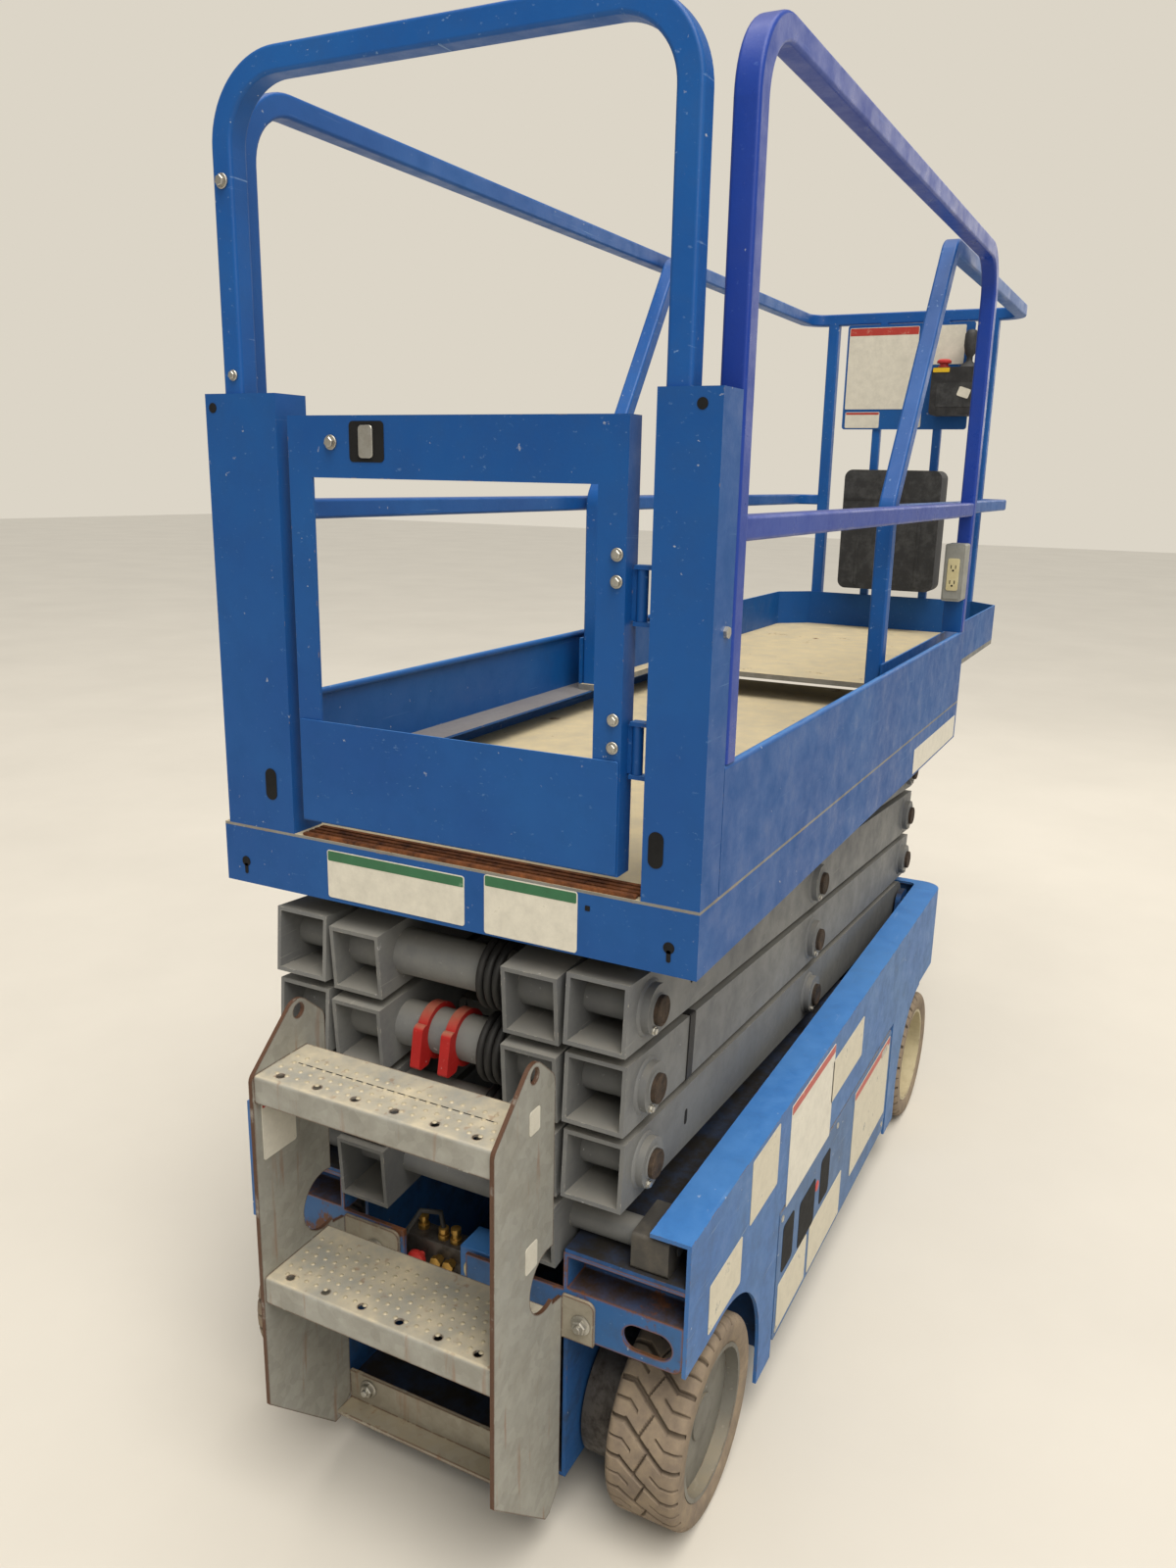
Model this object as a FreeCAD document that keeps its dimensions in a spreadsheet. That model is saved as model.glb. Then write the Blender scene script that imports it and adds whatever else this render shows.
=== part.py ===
"""Self-propelled slab scissor lift, stowed, with its roll-out deck out.

Millimetres. X runs from the entry gate to the steered wheels, Y to the left and Z up from
the floor. Stations are distances along X from the rear face of the platform skirt. The
origin is on the floor under the middle of the machine.
"""
import FreeCAD, Part
import math
import os
import Sketcher

doc = FreeCAD.newDocument("ScissorLift")

# Driving dimensions: name, value, what it is.
DIMENSIONS = (
    # Overall
    ("ladder_reach", 171, "rear edge of the ladder behind station zero"),
    ("front_reach", 2500, "station of the front face of the roll-out guardrails"),
    ("half_width", 380, "half the width over the chassis and the wheels"),
    ("face_gap", 0.3, "gap between faces that seat on different pieces"),
    ("move_gap", 6, "gap round a piece that moves"),
    # Chassis
    ("chassis_start", 15, "rear end of the chassis"),
    ("chassis_length", 1650, "front end of the chassis"),
    ("chassis_sheet", 6, "thickness of the chassis sheet"),
    ("rim_height", 541, "top of the chassis rim"),
    ("rim_flange", 60, "inward flange of the rim"),
    ("nose_flange", 26, "inward flange of the rim at the front"),
    ("rim_bend", 14, "outer bend of the rim"),
    ("front_corner", 45, "corner radius of the front of the chassis"),
    ("side_foot", 75, "lower edge of the side sheets between the wheels"),
    ("side_rear_foot", 335, "lower edge of the side sheets behind the rear wheels"),
    ("nose_foot", 345, "lower edge of the side sheets ahead of the front wheels"),
    ("front_plate_foot", 190, "lower edge of the front plate"),
    ("arch_radius", 186, "radius of the wheel arches"),
    ("shelf_top", 474, "top of the shelves that carry the sliders"),
    ("shelf_end", 1290, "front end of the shelves and of the deep centre box"),
    ("front_deck_top", 395, "plate over the steered wheels"),
    ("spine_half", 200, "half width of the centre box"),
    ("front_spine_half", 125, "half width of the centre box between the steered wheels"),
    ("spine_foot", 90, "underside of the centre box"),
    ("arm_slot_start", 1100, "cut in the shelves for the lowest outer arms"),
    ("arm_slot_far", 292, "cut in the shelves for the lowest outer arms"),
    ("channel_depth", 60, "depth of the rear channels"),
    ("channel_foot", 405, "underside of the rear channels"),
    ("channel_near", 192, "inner end of the rear channels"),
    ("tie_plate_foot", 337, "lower edge of the tie-down plates"),
    ("tie_slot_place", 322, "tie-down slots from the centreline"),
    ("tie_slot_height", 370, "tie-down slots"),
    ("tie_slot_half_length", 37, "half the length of a tie-down slot"),
    ("tie_slot_radius", 20, "half the width of a tie-down slot"),
    ("bay_rear", 410, "rear end of the module bays"),
    ("bay_front", 1206, "front end of the module bays"),
    ("bay_top", 351, "upper edge of the openings for the module doors"),
    # Ladder
    ("ladder_half", 193, "half width of the ladder"),
    ("ladder_sheet", 6, "thickness of the ladder's plates"),
    ("ladder_foot", 52, "foot of the ladder"),
    ("ladder_top", 806, "top of the ladder's plates"),
    ("top_step", 722, "upper step"),
    ("top_step_depth", 108, "upper step"),
    ("low_step", 408, "lower step"),
    ("low_step_depth", 138, "lower step"),
    # Wheels and steering
    ("wheel_radius", 152.5, "radius over the tyre"),
    ("wheel_width", 114, "width of the tyre"),
    ("wheel_inset", 1, "outer face of the wheel inside the overall width"),
    ("rear_axle_station", 154, "rear axle"),
    ("front_axle_station", 1474, "front axle"),
    ("rim_radius", 112, "radius of the wheel rim under the tyre"),
    ("hub_radius", 62, "radius of the hub boss"),
    ("rear_dish", 25, "depth of the rear wheel disc"),
    ("front_dish", 58, "depth of the front wheel disc"),
    ("disc_thickness", 8, "thickness of the wheel disc"),
    ("drum_radius", 100, "brake drums inside the rear wheels"),
    ("drum_reach", 205, "inner face of the brake drums from the centreline"),
    ("axle_radius", 20, "radius of the axle stubs"),
    ("kingpin_radius", 22, "radius of the kingpin"),
    ("yoke_plate", 12, "thickness of the steering yoke"),
    ("yoke_gap", 9, "gap between the tyre and the yoke"),
    ("turn_gap", 0.25, "radial running gap of pins and shafts"),
    # Modules
    ("hinge_station", 1197, "axis of the module hinges"),
    ("hinge_inset", 7, "module hinge axis inside the overall width"),
    ("hinge_barrel_radius", 6.5, "outer radius of the hinge barrels"),
    ("hinge_pin_radius", 4, "radius of the hinge pins"),
    ("door_start", 416, "rear edge of the module doors"),
    ("door_end", 1189, "front edge of the module doors"),
    ("door_foot", 100, "lower edge of the module doors"),
    ("door_top", 345, "upper edge of the module doors"),
    ("tray_start", 438, "rear end of the module trays"),
    ("tray_end", 1180, "front end of the module trays"),
    ("tray_inner", 212, "inner edge of the module trays"),
    ("tray_top", 118, "top of the module trays"),
    ("pack_top", 325, "top of the batteries and of the hydraulic unit"),
    # Guards under the sides
    ("guard_axis_height", 86, "hinge axis of the pothole guards"),
    ("guard_axis_inset", 24, "hinge axis of the pothole guards inside the width"),
    ("guard_blade", 62, "blade of the pothole guards from their axis"),
    ("guard_tube_radius", 8, "radius of the guard's hinge tube"),
    ("guard_pin_radius", 5, "radius of the guard's pins"),
    # Scissor linkset
    ("arm_length", 1520, "distance between the end pins of an arm"),
    ("level_pitch", 112.5, "height from one pin row to the next, stowed"),
    ("first_pin_height", 500, "height of the lowest pins"),
    ("front_pin_station", 1581, "station of the fixed pins"),
    ("arm_tube_height", 98, "height of the arm tubes"),
    ("arm_tube_wall", 6, "wall of the arm tubes"),
    ("inner_tube_near", 100, "inner arms, from the centreline"),
    ("inner_tube_far", 185, "inner arms, outer face"),
    ("outer_tube_near", 195, "outer arms, from the centreline"),
    ("outer_tube_far", 285, "outer arms, outer face"),
    ("arm_overhang", 66, "arm beyond its end pin"),
    ("arm_end_radius", 48, "rounded arm end under the deck"),
    ("pin_radius", 15, "radius of the pins"),
    ("bush_radius", 25, "outer radius of the bushes in the inner arms"),
    ("pin_head_radius", 35, "radius of the weld rings round the pins"),
    ("pin_head_height", 14, "height of the weld rings round the pins"),
    ("low_head_height", 6, "height of the weld rings beside the platform skirt"),
    ("pin_end_radius", 20, "radius of the pin ends"),
    ("pin_end_height", 8, "height of the pin ends over their rings"),
    ("cross_tube_radius", 34, "radius of the cross tubes"),
    ("front_cross_setback", 110, "front cross tube back from its pins"),
    # Slider blocks
    ("block_near", 291, "slider blocks, from the centreline"),
    ("block_far", 346, "slider blocks, outer face"),
    ("block_half_length", 45, "half the length of a slider block"),
    ("slider_shaft_radius", 21, "radius of the lower slider shaft"),
    ("block_top_gap", 6, "lower blocks below the rim flange"),
    # Lift cylinder
    ("barrel_station", 1399, "barrel pivot"),
    ("barrel_height", 440, "barrel pivot"),
    ("barrel_radius", 42, "radius of the barrel"),
    ("rod_radius", 24, "radius of the rod"),
    ("lug_reach", -600, "rod lugs along the second inner arm from its centre"),
    ("lug_rise", 20, "rod lugs above the second inner arm's centre line"),
    ("clevis_plate", 12, "thickness of the clevis plates"),
    ("lug_thickness", 12, "thickness of the lugs"),
    ("lug_gap", 6, "gap between an eye and its lugs"),
    ("lug_bar_rise", 68, "underside of the bar that carries the rod lugs"),
    ("lug_bar", 22, "thickness of the bar that carries the rod lugs"),
    ("eye_half", 22, "half the width of the cylinder eyes"),
    ("eye_radius", 30, "radius of the cylinder eyes"),
    # Platform
    ("platform_length", 1640, "platform"),
    ("skirt_half", 375, "half width over the platform skirt"),
    ("skirt_foot", 919, "lower edge of the skirt"),
    ("skirt_top", 1004, "top of the skirt and underside of the deck"),
    ("skirt_sheet", 4, "thickness of the platform sheet"),
    ("track_lip", 76, "lower flange of the side skirts"),
    ("deck_thickness", 4, "platform deck"),
    ("wall_top", 1175, "top of the side walls"),
    ("wall_start", 62, "rear end of the side walls"),
    ("wall_bead", 6, "radius of the rolled edge of the side walls"),
    ("ledge_near", 300, "ledges that carry the roll-out deck, from the centreline"),
    ("ledge_top", 1056, "top of the ledges that carry the roll-out deck"),
    ("post_top", 1605, "top of the rear posts"),
    ("post_depth", 60, "depth of the rear posts"),
    ("left_post_near", 245, "left rear post, inner edge"),
    ("left_post_far", 366, "left rear post, outer edge"),
    ("right_post_near", 297, "right rear post, inner edge"),
    ("right_post_far", 375, "right rear post, outer edge"),
    ("rail_radius", 16, "half the width of the guardrail tube"),
    ("mid_rail_radius", 15, "half the height of the mid rails"),
    ("rail_edge", 5, "edge radius of the guardrail tube"),
    ("rail_height", 1991, "centre of the top rails"),
    ("rail_bend", 90, "centre-line radius of the guardrail bends"),
    ("rail_start", 82, "rear leg of the side guardrails"),
    ("rail_end", 1622, "front leg of the side guardrails"),
    ("mid_rail_height", 1453, "centre of the mid rails"),
    ("hoop_half", 320, "legs of the rear hoop from the centreline"),
    # Gate
    ("gate_left", 228, "latch edge of the gate"),
    ("gate_right", -264, "hinge edge of the gate"),
    ("gate_foot", 1032, "lower edge of the gate"),
    ("gate_top", 1577, "upper edge of the gate"),
    ("gate_panel_top", 1176, "top of the gate's lower panel"),
    ("gate_rail_foot", 1500, "underside of the gate's top rail"),
    ("gate_stile", 38, "width of the gate's stiles"),
    ("gate_depth", 34, "depth of the gate's frame"),
    ("gate_skin", 4, "thickness of the gate's panel"),
    ("gate_hinge_y", -276, "gate hinge axis"),
    ("gate_hinge_x", 24, "gate hinge axis"),
    ("gate_barrel_radius", 7, "radius of the gate's hinge barrels"),
    ("gate_barrel_length", 60, "length of the gate's hinge barrels"),
    ("gate_pin_radius", 4, "radius of the gate's hinge pins"),
    ("gate_hinge_low", 1160, "foot of the lower hinge barrel"),
    ("gate_hinge_high", 1345, "foot of the upper hinge barrel"),
    # Roll-out deck
    ("travel", 860, "travel of the roll-out deck, back from the place drawn"),
    ("slide_deck_start", 1394, "rear edge of the roll-out deck between its runners"),
    ("slide_deck_half", 330, "half width of the roll-out deck"),
    ("slide_deck_thickness", 12, "roll-out deck"),
    ("toe_height", 100, "toe boards over the roll-out deck"),
    ("slide_corner", 80, "chamfer of the roll-out deck's front corners"),
    ("toe_sheet", 4, "thickness of the toe boards"),
    ("toe_start", 1030, "rear end of the roll-out toe boards and runners"),
    ("slide_leg_station", 1055, "rear leg of the roll-out guardrails"),
    ("slide_knee_height", 1462, "height where the rear leg leans forward"),
    ("slide_slope_station", 1420, "top of the leaning leg"),
    ("slide_rail_height", 1980, "centre of the roll-out top rails"),
    ("slide_bend", 60, "bends of the roll-out guardrails round the front corners"),
    ("slide_post_y", 232, "outer front posts of the roll-out deck"),
    ("front_post_left", 80, "inner front posts of the roll-out deck"),
    ("front_post_right", -100, "inner front posts of the roll-out deck"),
    ("front_post_half", 12, "half the width of the inner front posts"),
    # Fittings
    ("placard_left", 185, "placard panel"),
    ("placard_right", -185, "placard panel"),
    ("placard_foot", 1664, "placard panel"),
    ("placard_top", 1962, "placard panel"),
    ("case_width", 287, "document case"),
    ("case_foot", 1194, "document case"),
    ("case_top", 1545, "document case"),
    ("case_depth", 90, "document case"),
    ("case_left", 140, "document case"),
    ("control_left", -88, "control box"),
    ("control_width", 140, "control box"),
    ("control_foot", 1700, "control box"),
    ("control_height", 132, "control box"),
    ("control_depth", 75, "control box"),
    ("outlet_width", 44, "outlet box"),
    ("outlet_foot", 1250, "outlet box"),
    ("outlet_height", 128, "outlet box"),
    ("outlet_depth", 60, "outlet box"),
)

sheet = doc.addObject("Spreadsheet::Sheet", "Sizes")


class Size:
    """A length with its value and the spreadsheet expression that gives it."""

    def __init__(self, number, text):
        self.number = float(number)
        self.text = text

    def combine(self, other, sign, number):
        return Size(number, "(%s %s %s)" % (self.text, sign, as_size(other).text))

    def __add__(self, other):
        return self.combine(other, "+", self.number + float(other))

    def __sub__(self, other):
        return self.combine(other, "-", self.number - float(other))

    def __mul__(self, other):
        return self.combine(other, "*", self.number * float(other))

    def __truediv__(self, other):
        return self.combine(other, "/", self.number / float(other))

    def __radd__(self, other):
        return as_size(other) + self

    def __rsub__(self, other):
        return as_size(other) - self

    def __rmul__(self, other):
        return as_size(other) * self

    def __neg__(self):
        return Size(-self.number, "(0 - %s)" % self.text)

    def __float__(self):
        return self.number


def as_size(value):
    """Return value as a Size; a bare number becomes its own expression."""
    if isinstance(value, Size):
        return value
    return Size(value, "(%s)" % repr(float(value)))


def square_root(value):
    """Return the square root of a Size as a Size."""
    return Size(math.sqrt(float(value)), "sqrt(%s)" % value.text)


class Dimensions:
    """The driving dimensions, each one a Size read by its name."""


d = Dimensions()
for row, (name, number, meaning) in enumerate(DIMENSIONS, start=1):
    sheet.set("A%d" % row, name)
    sheet.set("B%d" % row, str(number))
    sheet.set("C%d" % row, meaning)
    sheet.setAlias("B%d" % row, name)
    setattr(d, name, Size(number, "Sizes.%s" % name))
doc.recompute()

# Sizes that follow from the driving dimensions
middle = (d.front_reach - d.ladder_reach) / 2
arm_run = square_root(d.arm_length * d.arm_length - d.level_pitch * d.level_pitch)
arm_slope = math.degrees(math.asin(float(d.level_pitch) / float(d.arm_length)))
rear_pin_station = d.front_pin_station - arm_run
arm_middle = d.front_pin_station - arm_run / 2
top_pin_height = d.first_pin_height + d.level_pitch * 4
wheel_middle = d.half_width - d.wheel_inset - d.wheel_width / 2
sheet_inside = d.half_width - d.chassis_sheet
slide_front = d.front_reach - d.rail_radius
slide_deck_front = slide_front - d.rail_radius - d.face_gap
inner_post_x = slide_deck_front + d.face_gap + d.front_post_half
slide_rail_y = d.slide_deck_half - d.toe_sheet - d.rail_radius - d.face_gap
slide_floor = d.ledge_top + d.face_gap + d.slide_deck_thickness
LEFT, RIGHT = 1, -1
SIDES = (LEFT, RIGHT)
nodes = []


def origin_plane(body, role):
    """Return the body's own origin plane with this role."""
    return next(f for f in body.Origin.OriginFeatures if f.Role == role)


def new_body(name, x=0, y=0, z=0):
    """Start a named sub-part whose own origin lies at station x, y, z."""
    body = doc.addObject("PartDesign::Body", name)
    body.Label = name
    body.AllowCompound = True
    body.setExpression("Placement.Base.x", (as_size(x) - middle).text)
    body.setExpression("Placement.Base.y", as_size(y).text)
    body.setExpression("Placement.Base.z", as_size(z).text)
    nodes.append(body)
    return body


def draw(sketch, corners):
    """Draw a closed outline; a corner is (u, v) or, where it is rounded, (u, v, radius)."""
    rows = [(as_size(c[0]), as_size(c[1]), as_size(c[2]) if len(c) > 2 else None) for c in corners]
    count = len(rows)
    spots = [FreeCAD.Vector(float(u), float(v), 0) for u, v, r in rows]
    arrive = []
    leave = []
    arcs = {}
    for i, (u, v, r) in enumerate(rows):
        if r is None:
            arrive.append(spots[i])
            leave.append(spots[i])
            continue
        back = (spots[i - 1] - spots[i]).normalize()
        ahead = (spots[(i + 1) % count] - spots[i]).normalize()
        half = back.getAngle(ahead) / 2
        run = float(r) / math.tan(half)
        first = spots[i] + back * run
        last = spots[i] + ahead * run
        centre = spots[i] + (back + ahead).normalize() * (float(r) / math.sin(half))
        turns_left = back.cross(ahead).z < 0
        start, end = (first, last) if turns_left else (last, first)
        angle = math.atan2(start.y - centre.y, start.x - centre.x)
        stop = math.atan2(end.y - centre.y, end.x - centre.x)
        if stop < angle:
            stop += 2 * math.pi
        circle = Part.Circle(centre, FreeCAD.Vector(0, 0, 1), float(r))
        arcs[i] = (Part.ArcOfCircle(circle, angle, stop), turns_left)
        arrive.append(first)
        leave.append(last)
    lines = []
    for i in range(count):
        lines.append(sketch.addGeometry(Part.LineSegment(leave[i], arrive[(i + 1) % count])))

    def hold(geometry, position, u, v):
        for kind, value in (("DistanceX", u), ("DistanceY", v)):
            rule = Sketcher.Constraint(kind, -1, 1, geometry, position, float(value))
            number = sketch.addConstraint(rule)
            sketch.setExpression("Constraints[%d]" % number, value.text)

    for i, (u, v, r) in enumerate(rows):
        before, after = lines[i - 1], lines[i]
        if r is None:
            sketch.addConstraint(Sketcher.Constraint("Coincident", before, 2, after, 1))
            hold(after, 1, u, v)
            continue
        corner = sketch.addGeometry(Part.Point(spots[i]), True)
        hold(corner, 1, u, v)
        sketch.addConstraint(Sketcher.Constraint("PointOnObject", corner, 1, before))
        sketch.addConstraint(Sketcher.Constraint("PointOnObject", corner, 1, after))
        shape, turns_left = arcs[i]
        arc = sketch.addGeometry(shape)
        near, far = (1, 2) if turns_left else (2, 1)
        sketch.addConstraint(Sketcher.Constraint("Tangent", before, 2, arc, near))
        sketch.addConstraint(Sketcher.Constraint("Tangent", after, 1, arc, far))
        number = sketch.addConstraint(Sketcher.Constraint("Radius", arc, float(r)))
        sketch.setExpression("Constraints[%d]" % number, r.text)


def draw_circles(sketch, circles):
    """Draw full circles, each one (u, v, radius)."""
    for u, v, r in circles:
        u, v, r = as_size(u), as_size(v), as_size(r)
        spot = FreeCAD.Vector(float(u), float(v), 0)
        circle = sketch.addGeometry(Part.Circle(spot, FreeCAD.Vector(0, 0, 1), float(r)))
        for kind, value in (("DistanceX", u), ("DistanceY", v)):
            rule = Sketcher.Constraint(kind, -1, 1, circle, 3, float(value))
            number = sketch.addConstraint(rule)
            sketch.setExpression("Constraints[%d]" % number, value.text)
        number = sketch.addConstraint(Sketcher.Constraint("Radius", circle, float(r)))
        sketch.setExpression("Constraints[%d]" % number, r.text)


def new_sketch(body, plane, offset):
    """Attach an empty sketch to one of the body's origin planes, moved along its normal."""
    sketch = body.newObject("Sketcher::SketchObject", body.Name + "_outline")
    sketch.AttachmentSupport = [(origin_plane(body, plane), "")]
    sketch.MapMode = "FlatFace"
    sketch.setExpression("AttachmentOffset.Base.z", as_size(offset).text)
    return sketch


def extrude(body, kind, plane, low, high, outlines, circles):
    """Pad or pocket outlines between two positions on the axis across the plane."""
    low, high = as_size(low), as_size(high)
    offset = -high if plane == "XZ_Plane" else low
    sketch = new_sketch(body, plane, offset)
    for corners in outlines:
        draw(sketch, corners)
    draw_circles(sketch, circles)
    before = body.Shape.Volume if not body.Shape.isNull() else 0.0
    feature = body.newObject("PartDesign::" + kind, body.Name + "_" + kind)
    feature.Profile = sketch
    feature.setExpression("Length", (high - low).text)
    if kind == "Pocket":
        feature.Reversed = True
    doc.recompute()
    if abs(feature.Shape.Volume - before) < 1.0:
        raise ValueError("%s changes nothing" % feature.Name)
    return feature


def pad(body, plane, low, high, *outlines, circles=()):
    """Add material: outlines on a plane, from low to high across it."""
    return extrude(body, "Pad", plane, low, high, outlines, circles)


def pocket(body, plane, low, high, *outlines, circles=()):
    """Take material away: outlines on a plane, from low to high across it."""
    return extrude(body, "Pocket", plane, low, high, outlines, circles)


def revolve(body, corners):
    """Turn an outline, drawn as (along Y, radius), about the body's Y axis."""
    sketch = new_sketch(body, "YZ_Plane", 0)
    draw(sketch, corners)
    feature = body.newObject("PartDesign::Revolution", body.Name + "_Revolution")
    feature.Profile = sketch
    feature.ReferenceAxis = (sketch, ["H_Axis"])
    feature.Angle = 360
    doc.recompute()
    return feature


def rectangle(u0, u1, v0, v1, radius=None):
    """Return a rectangle's corners, rounded where a radius is given."""
    spots = ((u0, v0), (u1, v0), (u1, v1), (u0, v1))
    if radius is None:
        return list(spots)
    return [(u, v, radius) for u, v in spots]


def slot(u, v, half_length, radius):
    """Return a rectangle rounded into a slot along u, centred at u, v."""
    rounding = radius * 0.98
    return rectangle(u - half_length, u + half_length, v - radius, v + radius, rounding)


def between(side, near, far):
    """Return the low and high Y of a piece that lies near to far from the centreline."""
    near, far = as_size(near), as_size(far)
    return (near, far) if side == LEFT else (-far, -near)


def rounded_wire(spots, bend, closed):
    """Return straight runs joined by tangent arcs of one radius."""
    edges = []
    if closed:
        spots = [(spots[-1] + spots[0]) * 0.5] + spots + [(spots[-1] + spots[0]) * 0.5]
    at = spots[0]
    for i in range(1, len(spots) - 1):
        back = (spots[i - 1] - spots[i]).normalize()
        ahead = (spots[i + 1] - spots[i]).normalize()
        half = back.getAngle(ahead) / 2
        run = float(bend) / math.tan(half)
        first = spots[i] + back * run
        last = spots[i] + ahead * run
        centre = spots[i] + (back + ahead).normalize() * (float(bend) / math.sin(half))
        inward = (spots[i] - centre).normalize()
        edges.append(Part.LineSegment(at, first).toShape())
        edges.append(Part.Arc(first, centre + inward * float(bend), last).toShape())
        at = last
    edges.append(Part.LineSegment(at, spots[-1]).toShape())
    return Part.Wire(edges)


def square_bar(points, bend, half, across):
    """Return a square bar with rounded edges along straight runs and arcs in one plane.

    The bar's sides lie along and across the direction given, which is square to the plane.
    """
    spots = [FreeCAD.Vector(*[float(c) for c in p]) for p in points]
    start = (spots[1] - spots[0]).normalize()
    one = FreeCAD.Vector(*across)
    two = start.cross(one)
    width = float(half)
    corners = [spots[0] + one * (u * width) + two * (v * width)
               for u, v in ((-1, -1), (1, -1), (1, 1), (-1, 1))]
    path = rounded_wire(spots, bend, False)
    return path.makePipeShell([rounded_wire(corners, d.rail_edge, True)], True, False)


def add_shape(name, shapes):
    """Join shapes that are in stations into one named sub-part."""
    joined = shapes[0]
    if len(shapes) > 1:
        joined = joined.fuse(list(shapes[1:])).removeSplitter()
    joined.translate(FreeCAD.Vector(-float(middle), 0, 0))
    feature = doc.addObject("Part::Feature", name)
    feature.Label = name
    feature.Shape = joined
    nodes.append(feature)
    return feature


def build_chassis_frame():
    """Deep centre box with a shelf each side, then the shallow one between the steered wheels."""
    body = new_body("chassis_frame")
    wall = d.chassis_sheet
    start, front = d.chassis_start, d.chassis_length
    ins = sheet_inside - d.face_gap

    def hat(half, top, foot):
        """Return the section of a trough with a flange each side."""
        return [
            (-ins, top), (-ins, top - wall), (-half, top - wall), (-half, foot), (half, foot),
            (half, top - wall), (ins, top - wall), (ins, top), (half - wall, top),
            (half - wall, foot + wall), (wall - half, foot + wall), (wall - half, top),
        ]

    pad(body, "YZ_Plane", start, d.shelf_end, hat(d.spine_half, d.shelf_top, d.spine_foot))
    pad(body, "YZ_Plane", d.shelf_end - wall, front - wall - d.face_gap,
        hat(d.front_spine_half, d.front_deck_top, d.front_plate_foot))
    # Cut for the lowest outer arms, the space of the rear channels and the nose's corners
    for side in SIDES:
        low, high = between(side, d.inner_tube_far + 3, d.arm_slot_far)
        pocket(body, "XY_Plane", d.front_deck_top, d.shelf_top + 1,
               rectangle(d.arm_slot_start, d.shelf_end + 1, low, high))
        low, high = between(side, d.spine_half - wall - 1, d.spine_half + 1)
        pocket(body, "XZ_Plane", low, high,
               rectangle(start - 1, start + d.channel_depth + 1,
                         d.tie_plate_foot - 1, d.shelf_top - wall))
        low, high = between(side, d.spine_half - wall, d.spine_half)
        pocket(body, "XY_Plane", d.front_deck_top - 0.5, d.shelf_top + 1,
               rectangle(d.arm_slot_start, d.shelf_end + 1, low, high))
        corner = front - d.front_corner - wall
        edge = (d.half_width - d.front_corner - wall) * side
        pocket(body, "XY_Plane", d.front_deck_top - wall, d.front_deck_top,
               [(corner, (sheet_inside + 1) * side), (front, (sheet_inside + 1) * side),
                (front, edge)])
    return body


def build_chassis_skin():
    """Side sheets and the nose sheet, each with its part of the inward rim."""
    wall = d.chassis_sheet
    start, front, out = d.chassis_start, d.chassis_length, d.half_width
    reach = out + 20
    joint = front - d.front_corner - 15

    def u_outline(depth, nose_depth, corner):
        """Return a U round the sides and the front, open to the rear."""
        edge = out - depth
        nose = front - nose_depth
        return [
            (start, out), (front, out, d.front_corner), (front, -out, d.front_corner),
            (start, -out), (start, -edge), (nose, -edge, corner), (nose, edge, corner),
            (start, edge),
        ]

    for name, side in (("chassis_side_left", LEFT), ("chassis_side_right", RIGHT),
                       ("chassis_nose", None)):
        body = new_body(name)
        pad(body, "XY_Plane", d.side_foot, d.rim_height, u_outline(wall, wall, d.front_corner - wall))
        pad(body, "XY_Plane", d.rim_height - wall, d.rim_height,
            u_outline(d.rim_flange, d.nose_flange, d.rim_bend))
        if side is None:
            pocket(body, "XY_Plane", d.side_foot - 1, d.rim_height + 1,
                   rectangle(start - 1, joint + d.face_gap, -reach, reach))
            pocket(body, "YZ_Plane", front - d.front_corner - 20, front + 20,
                   rectangle(-reach, reach, d.side_foot - 20, d.front_plate_foot))
            sides = SIDES
        else:
            low, high = between(side, -reach, out - d.rim_flange - 1)
            pocket(body, "XY_Plane", d.side_foot - 1, d.rim_height + 1,
                   rectangle(start - 1, front + 1, low, high))
            pocket(body, "XY_Plane", d.side_foot - 1, d.rim_height + 1,
                   rectangle(joint, front + 1, -reach, reach))
            sides = (side,)
        # Arches, module doors and the low front
        for each in sides:
            low, high = between(each, sheet_inside - 40, reach)
            for axle, foot, end in (
                (d.rear_axle_station, d.side_rear_foot, start - 20),
                (d.front_axle_station, d.nose_foot, front + 20),
            ):
                behind = float(end) < float(axle)
                if side is None:
                    if behind:
                        continue
                    pocket(body, "XZ_Plane", low, high,
                           rectangle(joint - 1, end, d.side_foot - 20, foot))
                    continue
                pocket(body, "XZ_Plane", low, high, circles=[(axle, d.wheel_radius, d.arch_radius)])
                first, last = (end, axle) if behind else (axle, end)
                pocket(body, "XZ_Plane", low, high, rectangle(first, last, d.side_foot - 20, foot))
                near = axle + (d.arch_radius if behind else -d.arch_radius)
                first, last = (axle, near) if behind else (near, axle)
                pocket(body, "XZ_Plane", low, high,
                       rectangle(first, last, d.side_foot - 20, d.wheel_radius))
            if side is not None:
                pocket(body, "XZ_Plane", low, high,
                       rectangle(d.bay_rear, d.bay_front, d.side_foot - 20, d.bay_top))


def build_chassis_bulkheads():
    """Bulkheads between the wheel wells and the module bays, and behind the steered wheels."""
    body = new_body("chassis_bulkheads")
    wall = d.chassis_sheet
    for station in (d.bay_rear - wall, d.bay_front, d.shelf_end - wall * 2 - d.face_gap):
        for side in SIDES:
            low, high = between(side, d.spine_half + d.face_gap, sheet_inside - d.face_gap)
            pad(body, "YZ_Plane", station, station + wall,
                rectangle(low, high, d.spine_foot, d.shelf_top - wall - d.face_gap))
    return body


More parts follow.
